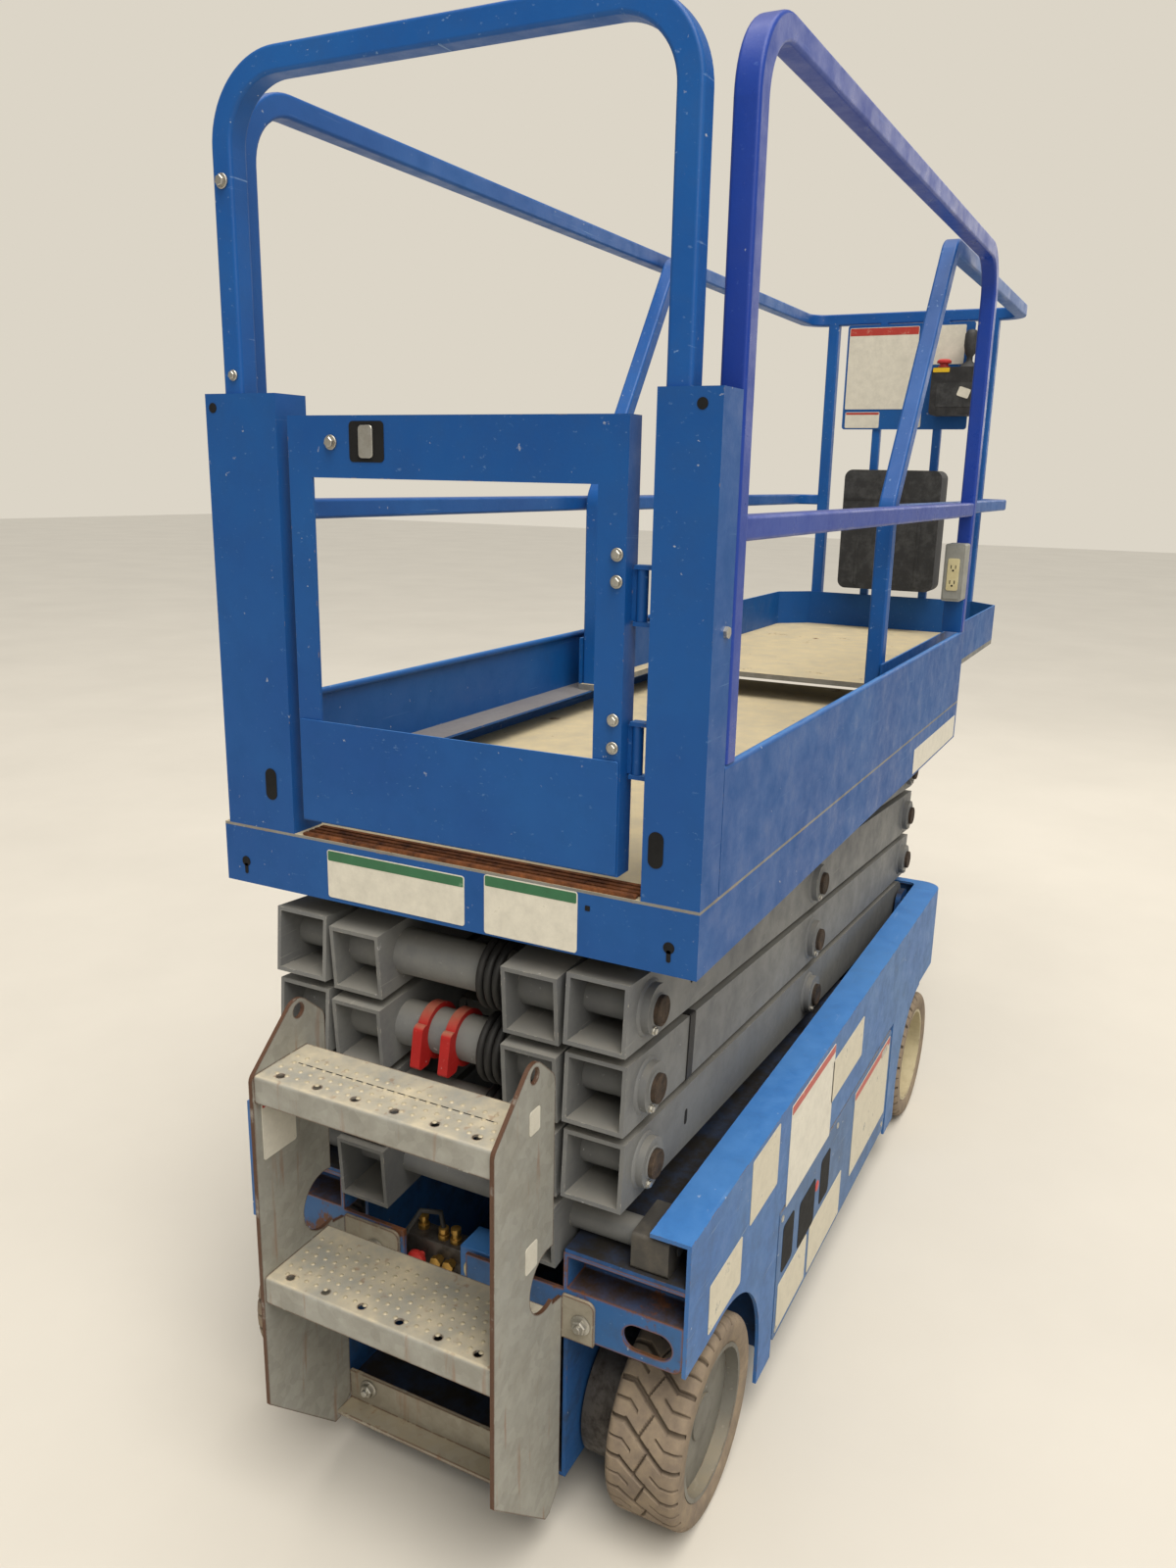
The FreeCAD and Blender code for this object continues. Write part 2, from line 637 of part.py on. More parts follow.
def build_rear_channel():
    """Rear channels open to the rear under the shelves, with tie-down plates below."""
    body = new_body("rear_channel")
    wall = d.chassis_sheet
    start = d.chassis_start
    top = d.shelf_top - wall - d.face_gap
    back = start + d.channel_depth
    foot = d.channel_foot
    far = sheet_inside - d.face_gap
    for side, plate_near in ((LEFT, as_size(80)), (RIGHT, as_size(30))):
        low, high = between(side, d.channel_near, far)
        pad(body, "XZ_Plane", low, high, [
            (start, top), (start, top - wall), (back - wall, top - wall, 4),
            (back - wall, foot + wall, 4), (start, foot + wall), (start, foot), (back, foot, 10),
            (back, top, 10),
        ])
        low, high = between(side, d.channel_near, d.channel_near + wall)
        pad(body, "XZ_Plane", low, high, rectangle(start, back - 1, foot + 1, top - 1, as_size(3)))
        low, high = between(side, plate_near, far)
        pad(body, "YZ_Plane", start, start + wall, [
            (low, foot + 2), (low, d.tie_plate_foot, 14), (high, d.tie_plate_foot, 14),
            (high, foot + 2),
        ])
        place = d.tie_slot_place * side
        pocket(body, "YZ_Plane", start - 1, start + wall + 1,
               slot(place, d.tie_slot_height, d.tie_slot_half_length, d.tie_slot_radius))
    return body


def build_ladder():
    """Entry ladder: two plates with round bites and two folded steps."""
    body = new_body("ladder")
    rear = -d.ladder_reach
    wall = d.ladder_sheet
    inner = d.chassis_start - d.face_gap - wall
    shoulder = rear + 152
    outline = [
        (rear, d.ladder_foot + 145), (shoulder - 12, d.ladder_foot), (shoulder, d.ladder_foot),
        (inner, d.ladder_foot + 26), (inner, d.tie_plate_foot + 64), (shoulder, d.tie_plate_foot + 70),
        (shoulder, d.ladder_top - 50, 24), (shoulder - 56, d.ladder_top, 26),
        (rear, d.ladder_top - 88, 16),
    ]
    for side in SIDES:
        low, high = between(side, d.ladder_half - wall, d.ladder_half)
        pad(body, "XZ_Plane", low, high, outline)
    pocket(body, "XZ_Plane", -d.ladder_half - 1, d.ladder_half + 1, circles=[
        (shoulder - 16, d.tie_plate_foot + 120, 46), (shoulder - 54, d.ladder_top - 27, 11),
    ])
    inside = d.ladder_half - wall - d.face_gap
    for height, depth in ((d.top_step, d.top_step_depth), (d.low_step, d.low_step_depth)):
        pad(body, "XZ_Plane", -inside, inside, [
            (rear + 4, height, 5), (rear + 4 + depth, height), (rear + 4 + depth, height - 3),
            (rear + 7, height - 3, 2), (rear + 7, height - 40), (rear + 4, height - 40),
        ])
        pitch = inside / 3
        pocket(body, "XY_Plane", height - 3, height, circles=[
            (rear + 22, pitch * (number - 2.5), 6) for number in range(6)])
    return body


def build_ladder_lower():
    """Bolted flanges of the ladder plates, a cross bar and the bottom flange."""
    body = new_body("ladder_mounts")
    wall = d.ladder_sheet
    face = d.chassis_start - d.face_gap
    half = d.ladder_half
    foot, top = d.tie_plate_foot - 2, d.tie_plate_foot + 66
    for near, far in ((half - 106, half - wall - d.face_gap), (-half - 50, -half - d.face_gap)):
        pad(body, "YZ_Plane", face - wall, face, [
            (near, foot), (far, foot), (far, top), (near, top, 12),
        ])
    inside = half - wall - d.face_gap
    pad(body, "YZ_Plane", face - wall, face, rectangle(-inside, inside, foot - 38, foot - 12))
    pad(body, "YZ_Plane", face - wall, face, rectangle(half - 106, inside, foot - 38, foot + 1))
    pad(body, "XZ_Plane", -inside, inside, [
        (face - 40, d.ladder_foot + 12), (face - 40, d.ladder_foot + 18),
        (face - wall, d.ladder_foot + 18), (face - wall, d.spine_foot + 30),
        (face, d.spine_foot + 30), (face, d.ladder_foot + 12),
    ])
    return body


def build_scissor_mounts():
    """Clevis plates for the fixed lower pins and for the lift cylinder."""
    body = new_body("scissor_mounts")
    base = d.front_deck_top + d.face_gap
    pin = d.first_pin_height
    station = d.front_pin_station
    for side in SIDES:
        for near in (d.outer_tube_near - 6 - d.clevis_plate, d.outer_tube_far + 6):
            low, high = between(side, near, near + d.clevis_plate)
            pad(body, "XZ_Plane", low, high, [
                (station - 70, base), (station + 57, base),
                (station + 32, pin + 32, 28), (station - 32, pin + 32, 28),
            ])
            pocket(body, "XZ_Plane", low, high,
                   circles=[(station, pin, d.pin_radius + d.turn_gap)])
    for side in SIDES:
        low, high = between(side, d.eye_half + d.lug_gap, d.eye_half + d.lug_gap + d.lug_thickness)
        pad(body, "XZ_Plane", low, high, [
            (d.barrel_station - 50, base), (d.barrel_station + 70, base),
            (d.barrel_station + 30, d.barrel_height + 30, 26),
            (d.barrel_station - 30, d.barrel_height + 30, 26),
        ])
    low = -(d.eye_half + d.lug_gap + d.lug_thickness)
    pad(body, "XZ_Plane", low, -low,
        circles=[(d.barrel_station, d.barrel_height, d.pin_radius)])
    inside = d.front_spine_half - d.chassis_sheet - d.face_gap
    pad(body, "XZ_Plane", -inside, inside,
        rectangle(d.barrel_station - 50, d.barrel_station + 70, base - 16, base + 1))
    return body


def build_front_axle():
    """Kingpin housings under the plate above each steered wheel."""
    body = new_body("kingpin_housings")
    top = d.front_deck_top - d.chassis_sheet - d.face_gap
    foot = d.wheel_radius * 2 + d.yoke_gap + d.yoke_plate + 4
    for side in SIDES:
        centre = wheel_middle * side
        pad(body, "XY_Plane", foot, top,
            circles=[(d.front_axle_station, centre, d.kingpin_radius + 16)])
        pocket(body, "XY_Plane", foot - 1, top + 1,
               circles=[(d.front_axle_station, centre, d.kingpin_radius + d.turn_gap)])
    return body


def build_rear_axles():
    """Stub axles with flanges on the centre box."""
    body = new_body("rear_axles", d.rear_axle_station, 0, d.wheel_radius)
    inner_face = wheel_middle - d.wheel_width / 2
    seat = d.spine_half + d.face_gap
    for side in SIDES:
        flange = between(side, seat, seat + 12)
        pad(body, "XZ_Plane", *flange, rectangle(-65, 65, -55, 65, as_size(16)))
        hub = between(side, seat, inner_face - 6)
        pad(body, "XZ_Plane", *hub, circles=[(0, 0, 48)])
        drum = between(side, d.drum_reach, inner_face - 6)
        pad(body, "XZ_Plane", *drum, circles=[(0, 0, d.drum_radius)])
        shaft = between(side, seat, inner_face + 40)
        pad(body, "XZ_Plane", *shaft, circles=[(0, 0, d.axle_radius)])
    return body


def build_wheel(name, station, side, dish):
    """Solid tyre on a dished wheel; the outer face looks away from the machine."""
    centre = wheel_middle * side
    half = d.wheel_width / 2
    tyre = new_body(name + "_tyre", station, centre, d.wheel_radius)
    shoulder = as_size(14)
    revolve(tyre, [
        (-half + 5, d.rim_radius + d.face_gap), (half - 5, d.rim_radius + d.face_gap),
        (half, d.rim_radius + 10), (half, d.wheel_radius, shoulder),
        (-half, d.wheel_radius, shoulder), (-half, d.rim_radius + 10),
    ])
    rim = new_body(name + "_rim", station, centre, d.wheel_radius)
    face = half * side
    lip = face - side * 4
    disc = face - side * dish
    back = disc - side * d.disc_thickness
    inner = -face + side * 6
    bore = d.axle_radius + d.turn_gap
    thin = as_size(7)
    revolve(rim, [
        (lip, d.rim_radius), (inner, d.rim_radius), (inner, d.rim_radius - thin),
        (back, d.rim_radius - thin), (back, d.hub_radius), (inner, d.hub_radius),
        (inner, bore), (disc - side * 0.5, bore), (disc, bore + 3), (disc, d.rim_radius - thin),
        (lip, d.rim_radius - thin),
    ])
    return body_pair(tyre, rim)


def body_pair(first, second):
    """Return two bodies as a tuple."""
    return first, second


def build_knuckle(name, side):
    """Steering yoke: a top plate with the kingpin, a drop plate and the axle stub."""
    centre = wheel_middle * side
    body = new_body(name, d.front_axle_station, centre, d.wheel_radius)
    top = d.wheel_radius + d.yoke_gap
    face = d.wheel_width / 2 + d.yoke_gap
    plate = between(-side, face, face + d.yoke_plate)
    pad(body, "XZ_Plane", *plate, [
        (-45, -46, 40), (45, -46, 40), (70, top + d.yoke_plate), (-70, top + d.yoke_plate),
    ])
    cap = between(-side, -as_size(46), face + d.yoke_plate)
    pad(body, "XY_Plane", top, top + d.yoke_plate,
        [(-70, cap[0], 12), (70, cap[0], 12), (70, cap[1], 12), (-70, cap[1], 12)])
    head = d.front_deck_top - d.chassis_sheet - d.wheel_radius - 4
    pad(body, "XY_Plane", top + d.yoke_plate - 1, head, circles=[(0, 0, d.kingpin_radius)])
    stub = between(-side, -d.wheel_width / 2 + d.front_dish + 10, face + 1)
    pad(body, "XZ_Plane", *stub, circles=[(0, 0, d.axle_radius)])
    return body


def build_module(name, side):
    """Swing-out door with its hinge barrel, and the tray with its heavy block."""
    out = d.half_width
    door = new_body(name + "_door")
    sheet_low, sheet_high = between(side, sheet_inside, out)
    pad(door, "XZ_Plane", sheet_low, sheet_high,
        rectangle(d.door_start, d.door_end, d.door_foot, d.door_top, as_size(8)))
    axis = out - d.hinge_inset
    leaf = between(side, sheet_inside - 4, sheet_inside)
    pad(door, "XZ_Plane", *leaf,
        rectangle(d.door_end - 40, d.hinge_station, d.door_foot + 30, d.door_top - 25))
    pad(door, "XY_Plane", d.door_foot + 30, d.door_top - 25,
        circles=[(d.hinge_station, axis * side, d.hinge_barrel_radius)])
    pocket(door, "XY_Plane", d.door_foot + 29, d.door_top - 24,
           circles=[(d.hinge_station, axis * side, d.hinge_pin_radius + d.turn_gap)])
    tray = new_body(name + "_tray")
    low, high = between(side, d.tray_inner, sheet_inside - d.face_gap)
    pad(tray, "XY_Plane", d.tray_top - 6, d.tray_top,
        rectangle(d.tray_start, d.tray_end, low, high, as_size(10)))
    low, high = between(side, d.tray_inner + 12, sheet_inside - 60)
    pad(tray, "XY_Plane", d.tray_top, d.pack_top,
        rectangle(d.tray_start + 30, d.tray_end - 30, low, high, as_size(6)))
    for station in (d.tray_start + 60, d.tray_end - 90):
        low, high = between(side, sheet_inside - 61, sheet_inside - d.face_gap)
        pad(tray, "XY_Plane", d.tray_top, d.tray_top + 120,
            rectangle(station, station + 30, low, high))
    return door, tray


def build_module_hinges():
    """Fixed pins and lugs that carry the module doors."""
    body = new_body("module_hinges")
    for side in SIDES:
        axis = (d.half_width - d.hinge_inset) * side
        edge = between(side, d.half_width - 14, d.half_width - 2)
        for height in (d.door_foot + 30 - d.move_gap - 6, d.door_top - 25 + d.move_gap):
            pad(body, "XY_Plane", height, height + 6,
                rectangle(d.hinge_station - 6, d.bay_front - d.face_gap, *edge))
        pad(body, "XY_Plane", d.door_foot + 30 - d.move_gap - 3, d.door_top - 25 + d.move_gap + 3,
            circles=[(d.hinge_station, axis, d.hinge_pin_radius)])
    return body


def build_guard(name, side):
    """Pothole guard: a blade on a hinge tube, folded flat under the side."""
    axis = d.half_width - d.guard_axis_inset
    body = new_body(name, 0, axis * side, d.guard_axis_height)
    start, stop = d.bay_rear + d.move_gap, d.bay_front - d.move_gap
    pad(body, "YZ_Plane", start, stop, circles=[(0, 0, d.guard_tube_radius)])
    low, high = between(side, -d.guard_blade, as_size(-2))
    pad(body, "YZ_Plane", start, stop, rectangle(low, high, -3, 3))
    pocket(body, "YZ_Plane", start - 1, stop + 1,
           circles=[(0, 0, d.guard_pin_radius + d.turn_gap)])
    return body


def build_guard_pins():
    """Fixed stubs on the bulkheads that carry the guards."""
    body = new_body("guard_pins")
    for side in SIDES:
        axis = (d.half_width - d.guard_axis_inset) * side
        for low, high in ((d.bay_rear + d.face_gap, d.bay_rear + 40),
                          (d.bay_front - 40, d.bay_front - d.face_gap)):
            pad(body, "YZ_Plane", low, high,
                circles=[(axis, d.guard_axis_height, d.guard_pin_radius)])
    return body


def build_arm(level, kind):
    """One level's pair of box arms. Outer arms carry the pins, inner arms the bushes.

    The body lies along its own X axis, front end forward, centred on its middle pin.
    """
    inner = kind == "inner"
    height = d.first_pin_height + d.level_pitch * (level - 0.5)
    body = new_body("arm_%d_%s" % (level, kind), arm_middle, 0, height)
    body.Placement.Rotation = FreeCAD.Rotation(FreeCAD.Vector(0, 1, 0), 1)
    slope = "asin(Sizes.level_pitch / Sizes.arm_length)"
    body.setExpression("Placement.Rotation.Angle", ("0 deg - " if inner else "") + slope)
    half = d.arm_tube_height / 2
    rear_end = -d.arm_length / 2
    front_end = d.arm_length / 2
    near, far = (d.inner_tube_near, d.inner_tube_far) if inner else (d.outer_tube_near, d.outer_tube_far)
    wall = d.arm_tube_wall
    rounded_rear = level == 4 and not inner
    rounded_front = (level == 4 and inner) or (level == 1 and not inner)
    rear_tip = rear_end - (d.arm_end_radius if rounded_rear else d.arm_overhang)
    front_tip = front_end + (d.arm_end_radius if rounded_front else d.arm_overhang)
    for side in SIDES:
        tube = between(side, near, far)
        hollow = between(side, near + wall, far - wall)

        def corner(x, z, rounded):
            return (x, z, d.arm_end_radius * 0.98) if rounded else (x, z)

        pad(body, "XZ_Plane", *tube, [
            corner(rear_tip, -half, rounded_rear), corner(front_tip, -half, rounded_front),
            corner(front_tip, half, rounded_front), corner(rear_tip, half, rounded_rear),
        ])
        pocket(body, "XZ_Plane", *hollow,
               rectangle(rear_tip - 1, front_tip + 1, wall - half, half - wall))
    places = (rear_end, as_size(0), front_end)
    if inner:
        for side in SIDES:
            bush = between(side, near - 4, far + 4)
            pad(body, "XZ_Plane", *bush, circles=[(place, 0, d.bush_radius) for place in places[1:]])
        if level == 1:
            pad(body, "XZ_Plane", 3 - d.block_near, d.block_near - 3,
                circles=[(rear_end, 0, d.slider_shaft_radius)])
            pad(body, "XZ_Plane", -d.block_far, d.block_far, circles=[(rear_end, 0, d.pin_radius)])
        else:
            pad(body, "XZ_Plane", -far - 4, far + 4, circles=[(rear_end, 0, d.cross_tube_radius)])
            pocket(body, "XZ_Plane", -far - 5, far + 5,
                   circles=[(rear_end, 0, d.pin_radius + d.turn_gap)])
        for side in SIDES:
            bush = between(side, near - 5, far + 5)
            pocket(body, "XZ_Plane", *bush,
                   circles=[(place, 0, d.pin_radius + d.turn_gap) for place in places[1:]])
        pad(body, "XZ_Plane", -near - wall, near + wall,
            circles=[(front_end - d.front_cross_setback, 0, d.cross_tube_radius * 0.8)])
        return body
    for side in SIDES:
        reach_in = d.inner_tube_near - 8
        ends = [(places[1], d.low_head_height if level == 4 else d.pin_head_height)]
        if level > 1:
            ends.append((places[2], d.pin_head_height))
        if level < 4:
            ends.append((places[0], d.pin_head_height))
        pin = between(side, reach_in, far + 1)
        pad(body, "XZ_Plane", *pin, circles=[(place, 0, d.pin_radius) for place, rise in ends])
        for place, rise in ends:
            head = between(side, far - 1, far + rise)
            pad(body, "XZ_Plane", *head, circles=[(place, 0, d.pin_head_radius)])
            if rise is d.pin_head_height:
                tip = between(side, far + rise - 1, far + rise + d.pin_end_height)
                pad(body, "XZ_Plane", *tip, circles=[(place, 0, d.pin_end_radius)])
        if level == 1:
            pin = between(side, near - 6 - d.clevis_plate, far + 6 + d.clevis_plate)
            pad(body, "XZ_Plane", *pin, circles=[(front_end, 0, d.pin_radius)])
        if level == 4:
            pin = between(side, far - wall, d.block_far)
            pad(body, "XZ_Plane", *pin, circles=[(rear_end, 0, d.pin_radius)])
    return body


def build_rod_lugs():
    """Bar between the second inner arms with two lugs that take the rod's eye."""
    body = new_body("rod_lugs", arm_middle, 0, d.first_pin_height + d.level_pitch * 1.5)
    body.Placement.Rotation = FreeCAD.Rotation(FreeCAD.Vector(0, 1, 0), 1)
    body.setExpression("Placement.Rotation.Angle",
                       "0 deg - asin(Sizes.level_pitch / Sizes.arm_length)")
    near = d.inner_tube_near
    foot, top = d.lug_bar_rise, d.lug_bar_rise + d.lug_bar
    place = d.lug_reach
    for side in SIDES:
        low, high = between(side, near - 17, near - 6)
        pad(body, "XZ_Plane", low, high,
            [(place - 45, -20), (place + 45, -20), (place + 26, top, 8), (place - 26, top, 8)])
        low, high = between(side, near - 7, near - d.face_gap)
        pad(body, "XZ_Plane", low, high, rectangle(place - 30, place + 30, -20, 36))
    pad(body, "XZ_Plane", 7 - near, near - 7, rectangle(place - 22, place + 22, foot, top))
    for side in SIDES:
        low, high = between(side, d.eye_half + d.lug_gap, d.eye_half + d.lug_gap + d.lug_thickness)
        pad(body, "XZ_Plane", low, high, [
            (place - 34, d.lug_rise - 32, 28), (place + 34, d.lug_rise - 32, 28),
            (place + 22, foot + 1), (place - 22, foot + 1),
        ])
    return body


def build_safety_hooks():
    """Two hooks clamped round the rear cross tube of the third inner arms."""
    body = new_body("safety_hooks", rear_pin_station, 0, d.first_pin_height + d.level_pitch * 2)
    for low in (-5, 42):
        pad(body, "XZ_Plane", low, low + 16, circles=[(0, 0, d.cross_tube_radius + 8)])
        pad(body, "XZ_Plane", low, low + 16, [
            (-58, -40, 5), (-34, -40, 5), (-20, -20), (-20, 20), (-46, 24, 10)])
        pocket(body, "XZ_Plane", low, low + 16, circles=[(0, 0, d.cross_tube_radius + d.face_gap)])
    return body


def build_lower_sliders():
    """Wear blocks on the ends of the lower slider shaft."""
    pin = d.first_pin_height
    body = new_body("lower_sliders", rear_pin_station, 0, pin)
    foot = d.shelf_top + d.face_gap - pin
    top = d.rim_height - d.chassis_sheet - d.block_top_gap - pin
    for side in SIDES:
        low, high = between(side, d.block_near, d.block_far)
        pad(body, "XZ_Plane", low, high,
            rectangle(-d.block_half_length, d.block_half_length, foot, top, as_size(6)))
        pocket(body, "XZ_Plane", low, high, circles=[(0, 0, d.pin_radius + d.turn_gap)])
    return body


def build_upper_sliders():
    """Wear blocks of the top rear pins, inside the platform's side channels."""
    body = new_body("upper_sliders", rear_pin_station, 0, top_pin_height)
    foot = d.skirt_foot + d.skirt_sheet + d.face_gap - top_pin_height
    top = d.skirt_top - d.face_gap - top_pin_height
    for side in SIDES:
        low, high = between(side, d.block_near + d.move_gap, d.block_far)
        pad(body, "XZ_Plane", low, high,
            rectangle(-d.block_half_length, d.block_half_length, foot, top, as_size(5)))
        pocket(body, "XZ_Plane", low, high, circles=[(0, 0, d.pin_radius + d.turn_gap)])
    return body


def build_platform_frame():
    """Skirt with lower flanges that hold the upper sliders, and the fixed pin brackets."""
    body = new_body("platform_frame")
    wall = d.skirt_sheet
    out = d.skirt_half
    pad(body, "XY_Plane", d.skirt_foot, d.skirt_top,
        rectangle(0, d.platform_length, -out, out),
        rectangle(wall, d.platform_length - wall, wall - out, out - wall))
    for side in SIDES:
        low, high = between(side, out - d.track_lip, out)
        pad(body, "XY_Plane", d.skirt_foot, d.skirt_foot + wall,
            rectangle(0, d.platform_length, low, high))
    foot = top_pin_height - 34
    for side in SIDES:
        for near in (d.inner_tube_near - 14, d.inner_tube_far + 5):
            low, high = between(side, near, near + 8)
            pad(body, "XZ_Plane", low, high, [
                (d.front_pin_station - 34, foot, 30), (d.front_pin_station + 34, foot, 30),
                (d.front_pin_station + 44, d.skirt_top), (d.front_pin_station - 60, d.skirt_top),
            ])
        low, high = between(side, d.inner_tube_near - 14, d.inner_tube_far + 13)
        pad(body, "XZ_Plane", low, high,
            circles=[(d.front_pin_station, top_pin_height, d.pin_radius)])
    pad(body, "XY_Plane", d.skirt_top - wall, d.skirt_top,
        rectangle(d.front_pin_station - 60, d.platform_length - wall + 1, wall - out, out - wall))
    return body


def build_platform_deck():
    """Deck plate on the skirt."""
    body = new_body("platform_deck")
    out = d.skirt_half - d.skirt_sheet
    pad(body, "XY_Plane", d.skirt_top, d.skirt_top + d.deck_thickness,
        rectangle(0, d.platform_length, -out - d.skirt_sheet, out + d.skirt_sheet))
    return body


def build_side_walls():
    """Side walls with a rolled upper edge and a ledge, standing on the deck."""
    body = new_body("side_walls")
    deck = d.skirt_top + d.deck_thickness
    wall = d.skirt_sheet
    for side in SIDES:
        low, high = between(side, d.skirt_half - wall, d.skirt_half)
        pad(body, "YZ_Plane", d.wall_start, d.platform_length,
            rectangle(low, high, deck, d.wall_top - d.wall_bead))
        low, high = between(side, d.ledge_near, d.skirt_half - 1)
        pad(body, "YZ_Plane", d.wall_start, d.platform_length,
            rectangle(low, high, d.ledge_top - wall, d.ledge_top))
        centre = (d.skirt_half - d.wall_bead) * side
        pad(body, "YZ_Plane", d.wall_start, d.platform_length,
            circles=[(centre, d.wall_top - d.wall_bead, d.wall_bead)])
    return body


def build_rear_posts():
    """Folded sheet posts each side of the gate, open to the front."""
    body = new_body("rear_posts")
    deck = d.skirt_top + d.deck_thickness
    wall = d.skirt_sheet
    for near, far, side in ((d.left_post_near, d.left_post_far, LEFT),
                            (d.right_post_near, d.right_post_far, RIGHT)):
        n, f = near * side, far * side
        pad(body, "XY_Plane", deck, d.post_top, [
            (0, n), (d.post_depth, n), (d.post_depth, n + side * wall), (wall, n + side * wall),
            (wall, f - side * wall), (d.post_depth, f - side * wall), (d.post_depth, f), (0, f),
        ])
    return body


def build_guardrail(name, side):
    """Side guardrail on the wall: rear and front legs, top rail and mid rail in one bent frame."""
    y = (d.skirt_half - d.rail_radius) * side
    foot = d.wall_top + d.face_gap
    frame = square_bar([
        (d.rail_start, y, foot), (d.rail_start, y, d.rail_height),
        (d.rail_end, y, d.rail_height), (d.rail_end, y, foot),
    ], d.rail_bend, d.rail_radius, (0, 1, 0))
    mid = square_bar([(d.rail_start, y, d.mid_rail_height), (d.rail_end, y, d.mid_rail_height)],
                     d.rail_bend, d.mid_rail_radius, (0, 1, 0))
    return add_shape(name, [frame, mid])


def build_rear_hoop():
    """Bent tube over the gate, its legs inside the rear posts."""
    foot = d.mid_rail_height
    x = d.skirt_sheet + d.rail_radius + d.face_gap
    hoop = square_bar([
        (x, d.hoop_half, foot), (x, d.hoop_half, d.rail_height),
        (x, -d.hoop_half, d.rail_height), (x, -d.hoop_half, foot),
    ], d.rail_bend, d.rail_radius, (1, 0, 0))
    return add_shape("rear_hoop", [hoop])


def build_gate():
    """Entry gate: frame of stiles and top rail with a lower panel, and its hinge barrels."""
    body = new_body("gate")
    left, right = d.gate_left, d.gate_right
    stile = d.gate_stile
    pad(body, "YZ_Plane", 2, d.gate_skin + 2,
        rectangle(right, left, d.gate_foot, d.gate_top),
        rectangle(right + stile, left - stile, d.gate_panel_top, d.gate_rail_foot))
    pad(body, "YZ_Plane", 2, d.gate_depth,
        rectangle(right, right + d.gate_skin, d.gate_foot, d.gate_top))
    pad(body, "YZ_Plane", 2, d.gate_depth,
        rectangle(left - d.gate_skin, left, d.gate_foot, d.gate_top))
    pad(body, "YZ_Plane", 2, d.gate_depth,
        rectangle(right, left, d.gate_top - d.gate_skin, d.gate_top))
    add_gate_barrels(body)
    return body


def gate_barrel_feet():
    """Return the lower end of each hinge barrel of the gate."""
    return (d.gate_hinge_low, d.gate_hinge_high)


def add_gate_barrels(body):
    """Barrels on the hinge stile of the gate, each with a leaf to the stile."""
    spot = (d.gate_hinge_x, d.gate_hinge_y)
    for foot in gate_barrel_feet():
        top = foot + d.gate_barrel_length
        pad(body, "XY_Plane", foot, top, circles=[(*spot, d.gate_barrel_radius)])
        pad(body, "XY_Plane", foot, top,
            rectangle(spot[0] - 3, spot[0] + 3, spot[1], d.gate_right + 1))
        pocket(body, "XY_Plane", foot - 1, top + 1,
               circles=[(*spot, d.gate_pin_radius + d.turn_gap)])


def build_gate_hinges():
    """Lugs on the right rear post with the pins that carry the gate."""
    body = new_body("gate_hinges")
    x, y = d.gate_hinge_x, d.gate_hinge_y
    edge = -d.right_post_near + d.face_gap
    for foot in gate_barrel_feet():
        top = foot + d.gate_barrel_length
        for height in (foot - d.face_gap - 5, top + d.face_gap):
            pad(body, "XY_Plane", height, height + 5, rectangle(x - 8, x + 8, edge, y + 8))
        pad(body, "XY_Plane", foot - 3, top + 3, circles=[(x, y, d.gate_pin_radius)])
    return body


def build_slide_deck():
    """Roll-out deck plate with runners that reach back on the ledges of the walls."""
    body = new_body("slide_deck")
    base = d.ledge_top + d.face_gap
    half, corner, front = d.slide_deck_half, d.slide_corner, slide_deck_front
    near = slide_rail_y - d.rail_radius
    pad(body, "XY_Plane", base, slide_floor, [
        (d.toe_start, -half), (front - corner, -half), (front, corner - half),
        (front, half - corner), (front - corner, half), (d.toe_start, half),
        (d.toe_start, near), (d.slide_deck_start, near, 20), (d.slide_deck_start, -near, 20),
        (d.toe_start, -near),
    ])
    return body


def build_slide_toe_boards():
    """Toe boards round the front of the roll-out deck."""
    body = new_body("slide_toe_boards")
    half, corner, front = d.slide_deck_half, d.slide_corner, slide_deck_front
    thin = d.toe_sheet
    base = slide_floor + d.face_gap
    pad(body, "XY_Plane", base, base + d.toe_height, [
        (d.toe_start, -half), (front - corner, -half), (front, corner - half),
        (front, half - corner), (front - corner, half), (d.toe_start, half),
        (d.toe_start, half - thin), (front - corner - thin * 0.4, half - thin),
        (front - thin, half - corner - thin * 0.4), (front - thin, corner - half + thin * 0.4),
        (front - corner - thin * 0.4, thin - half), (d.toe_start, thin - half),
    ])
    return body


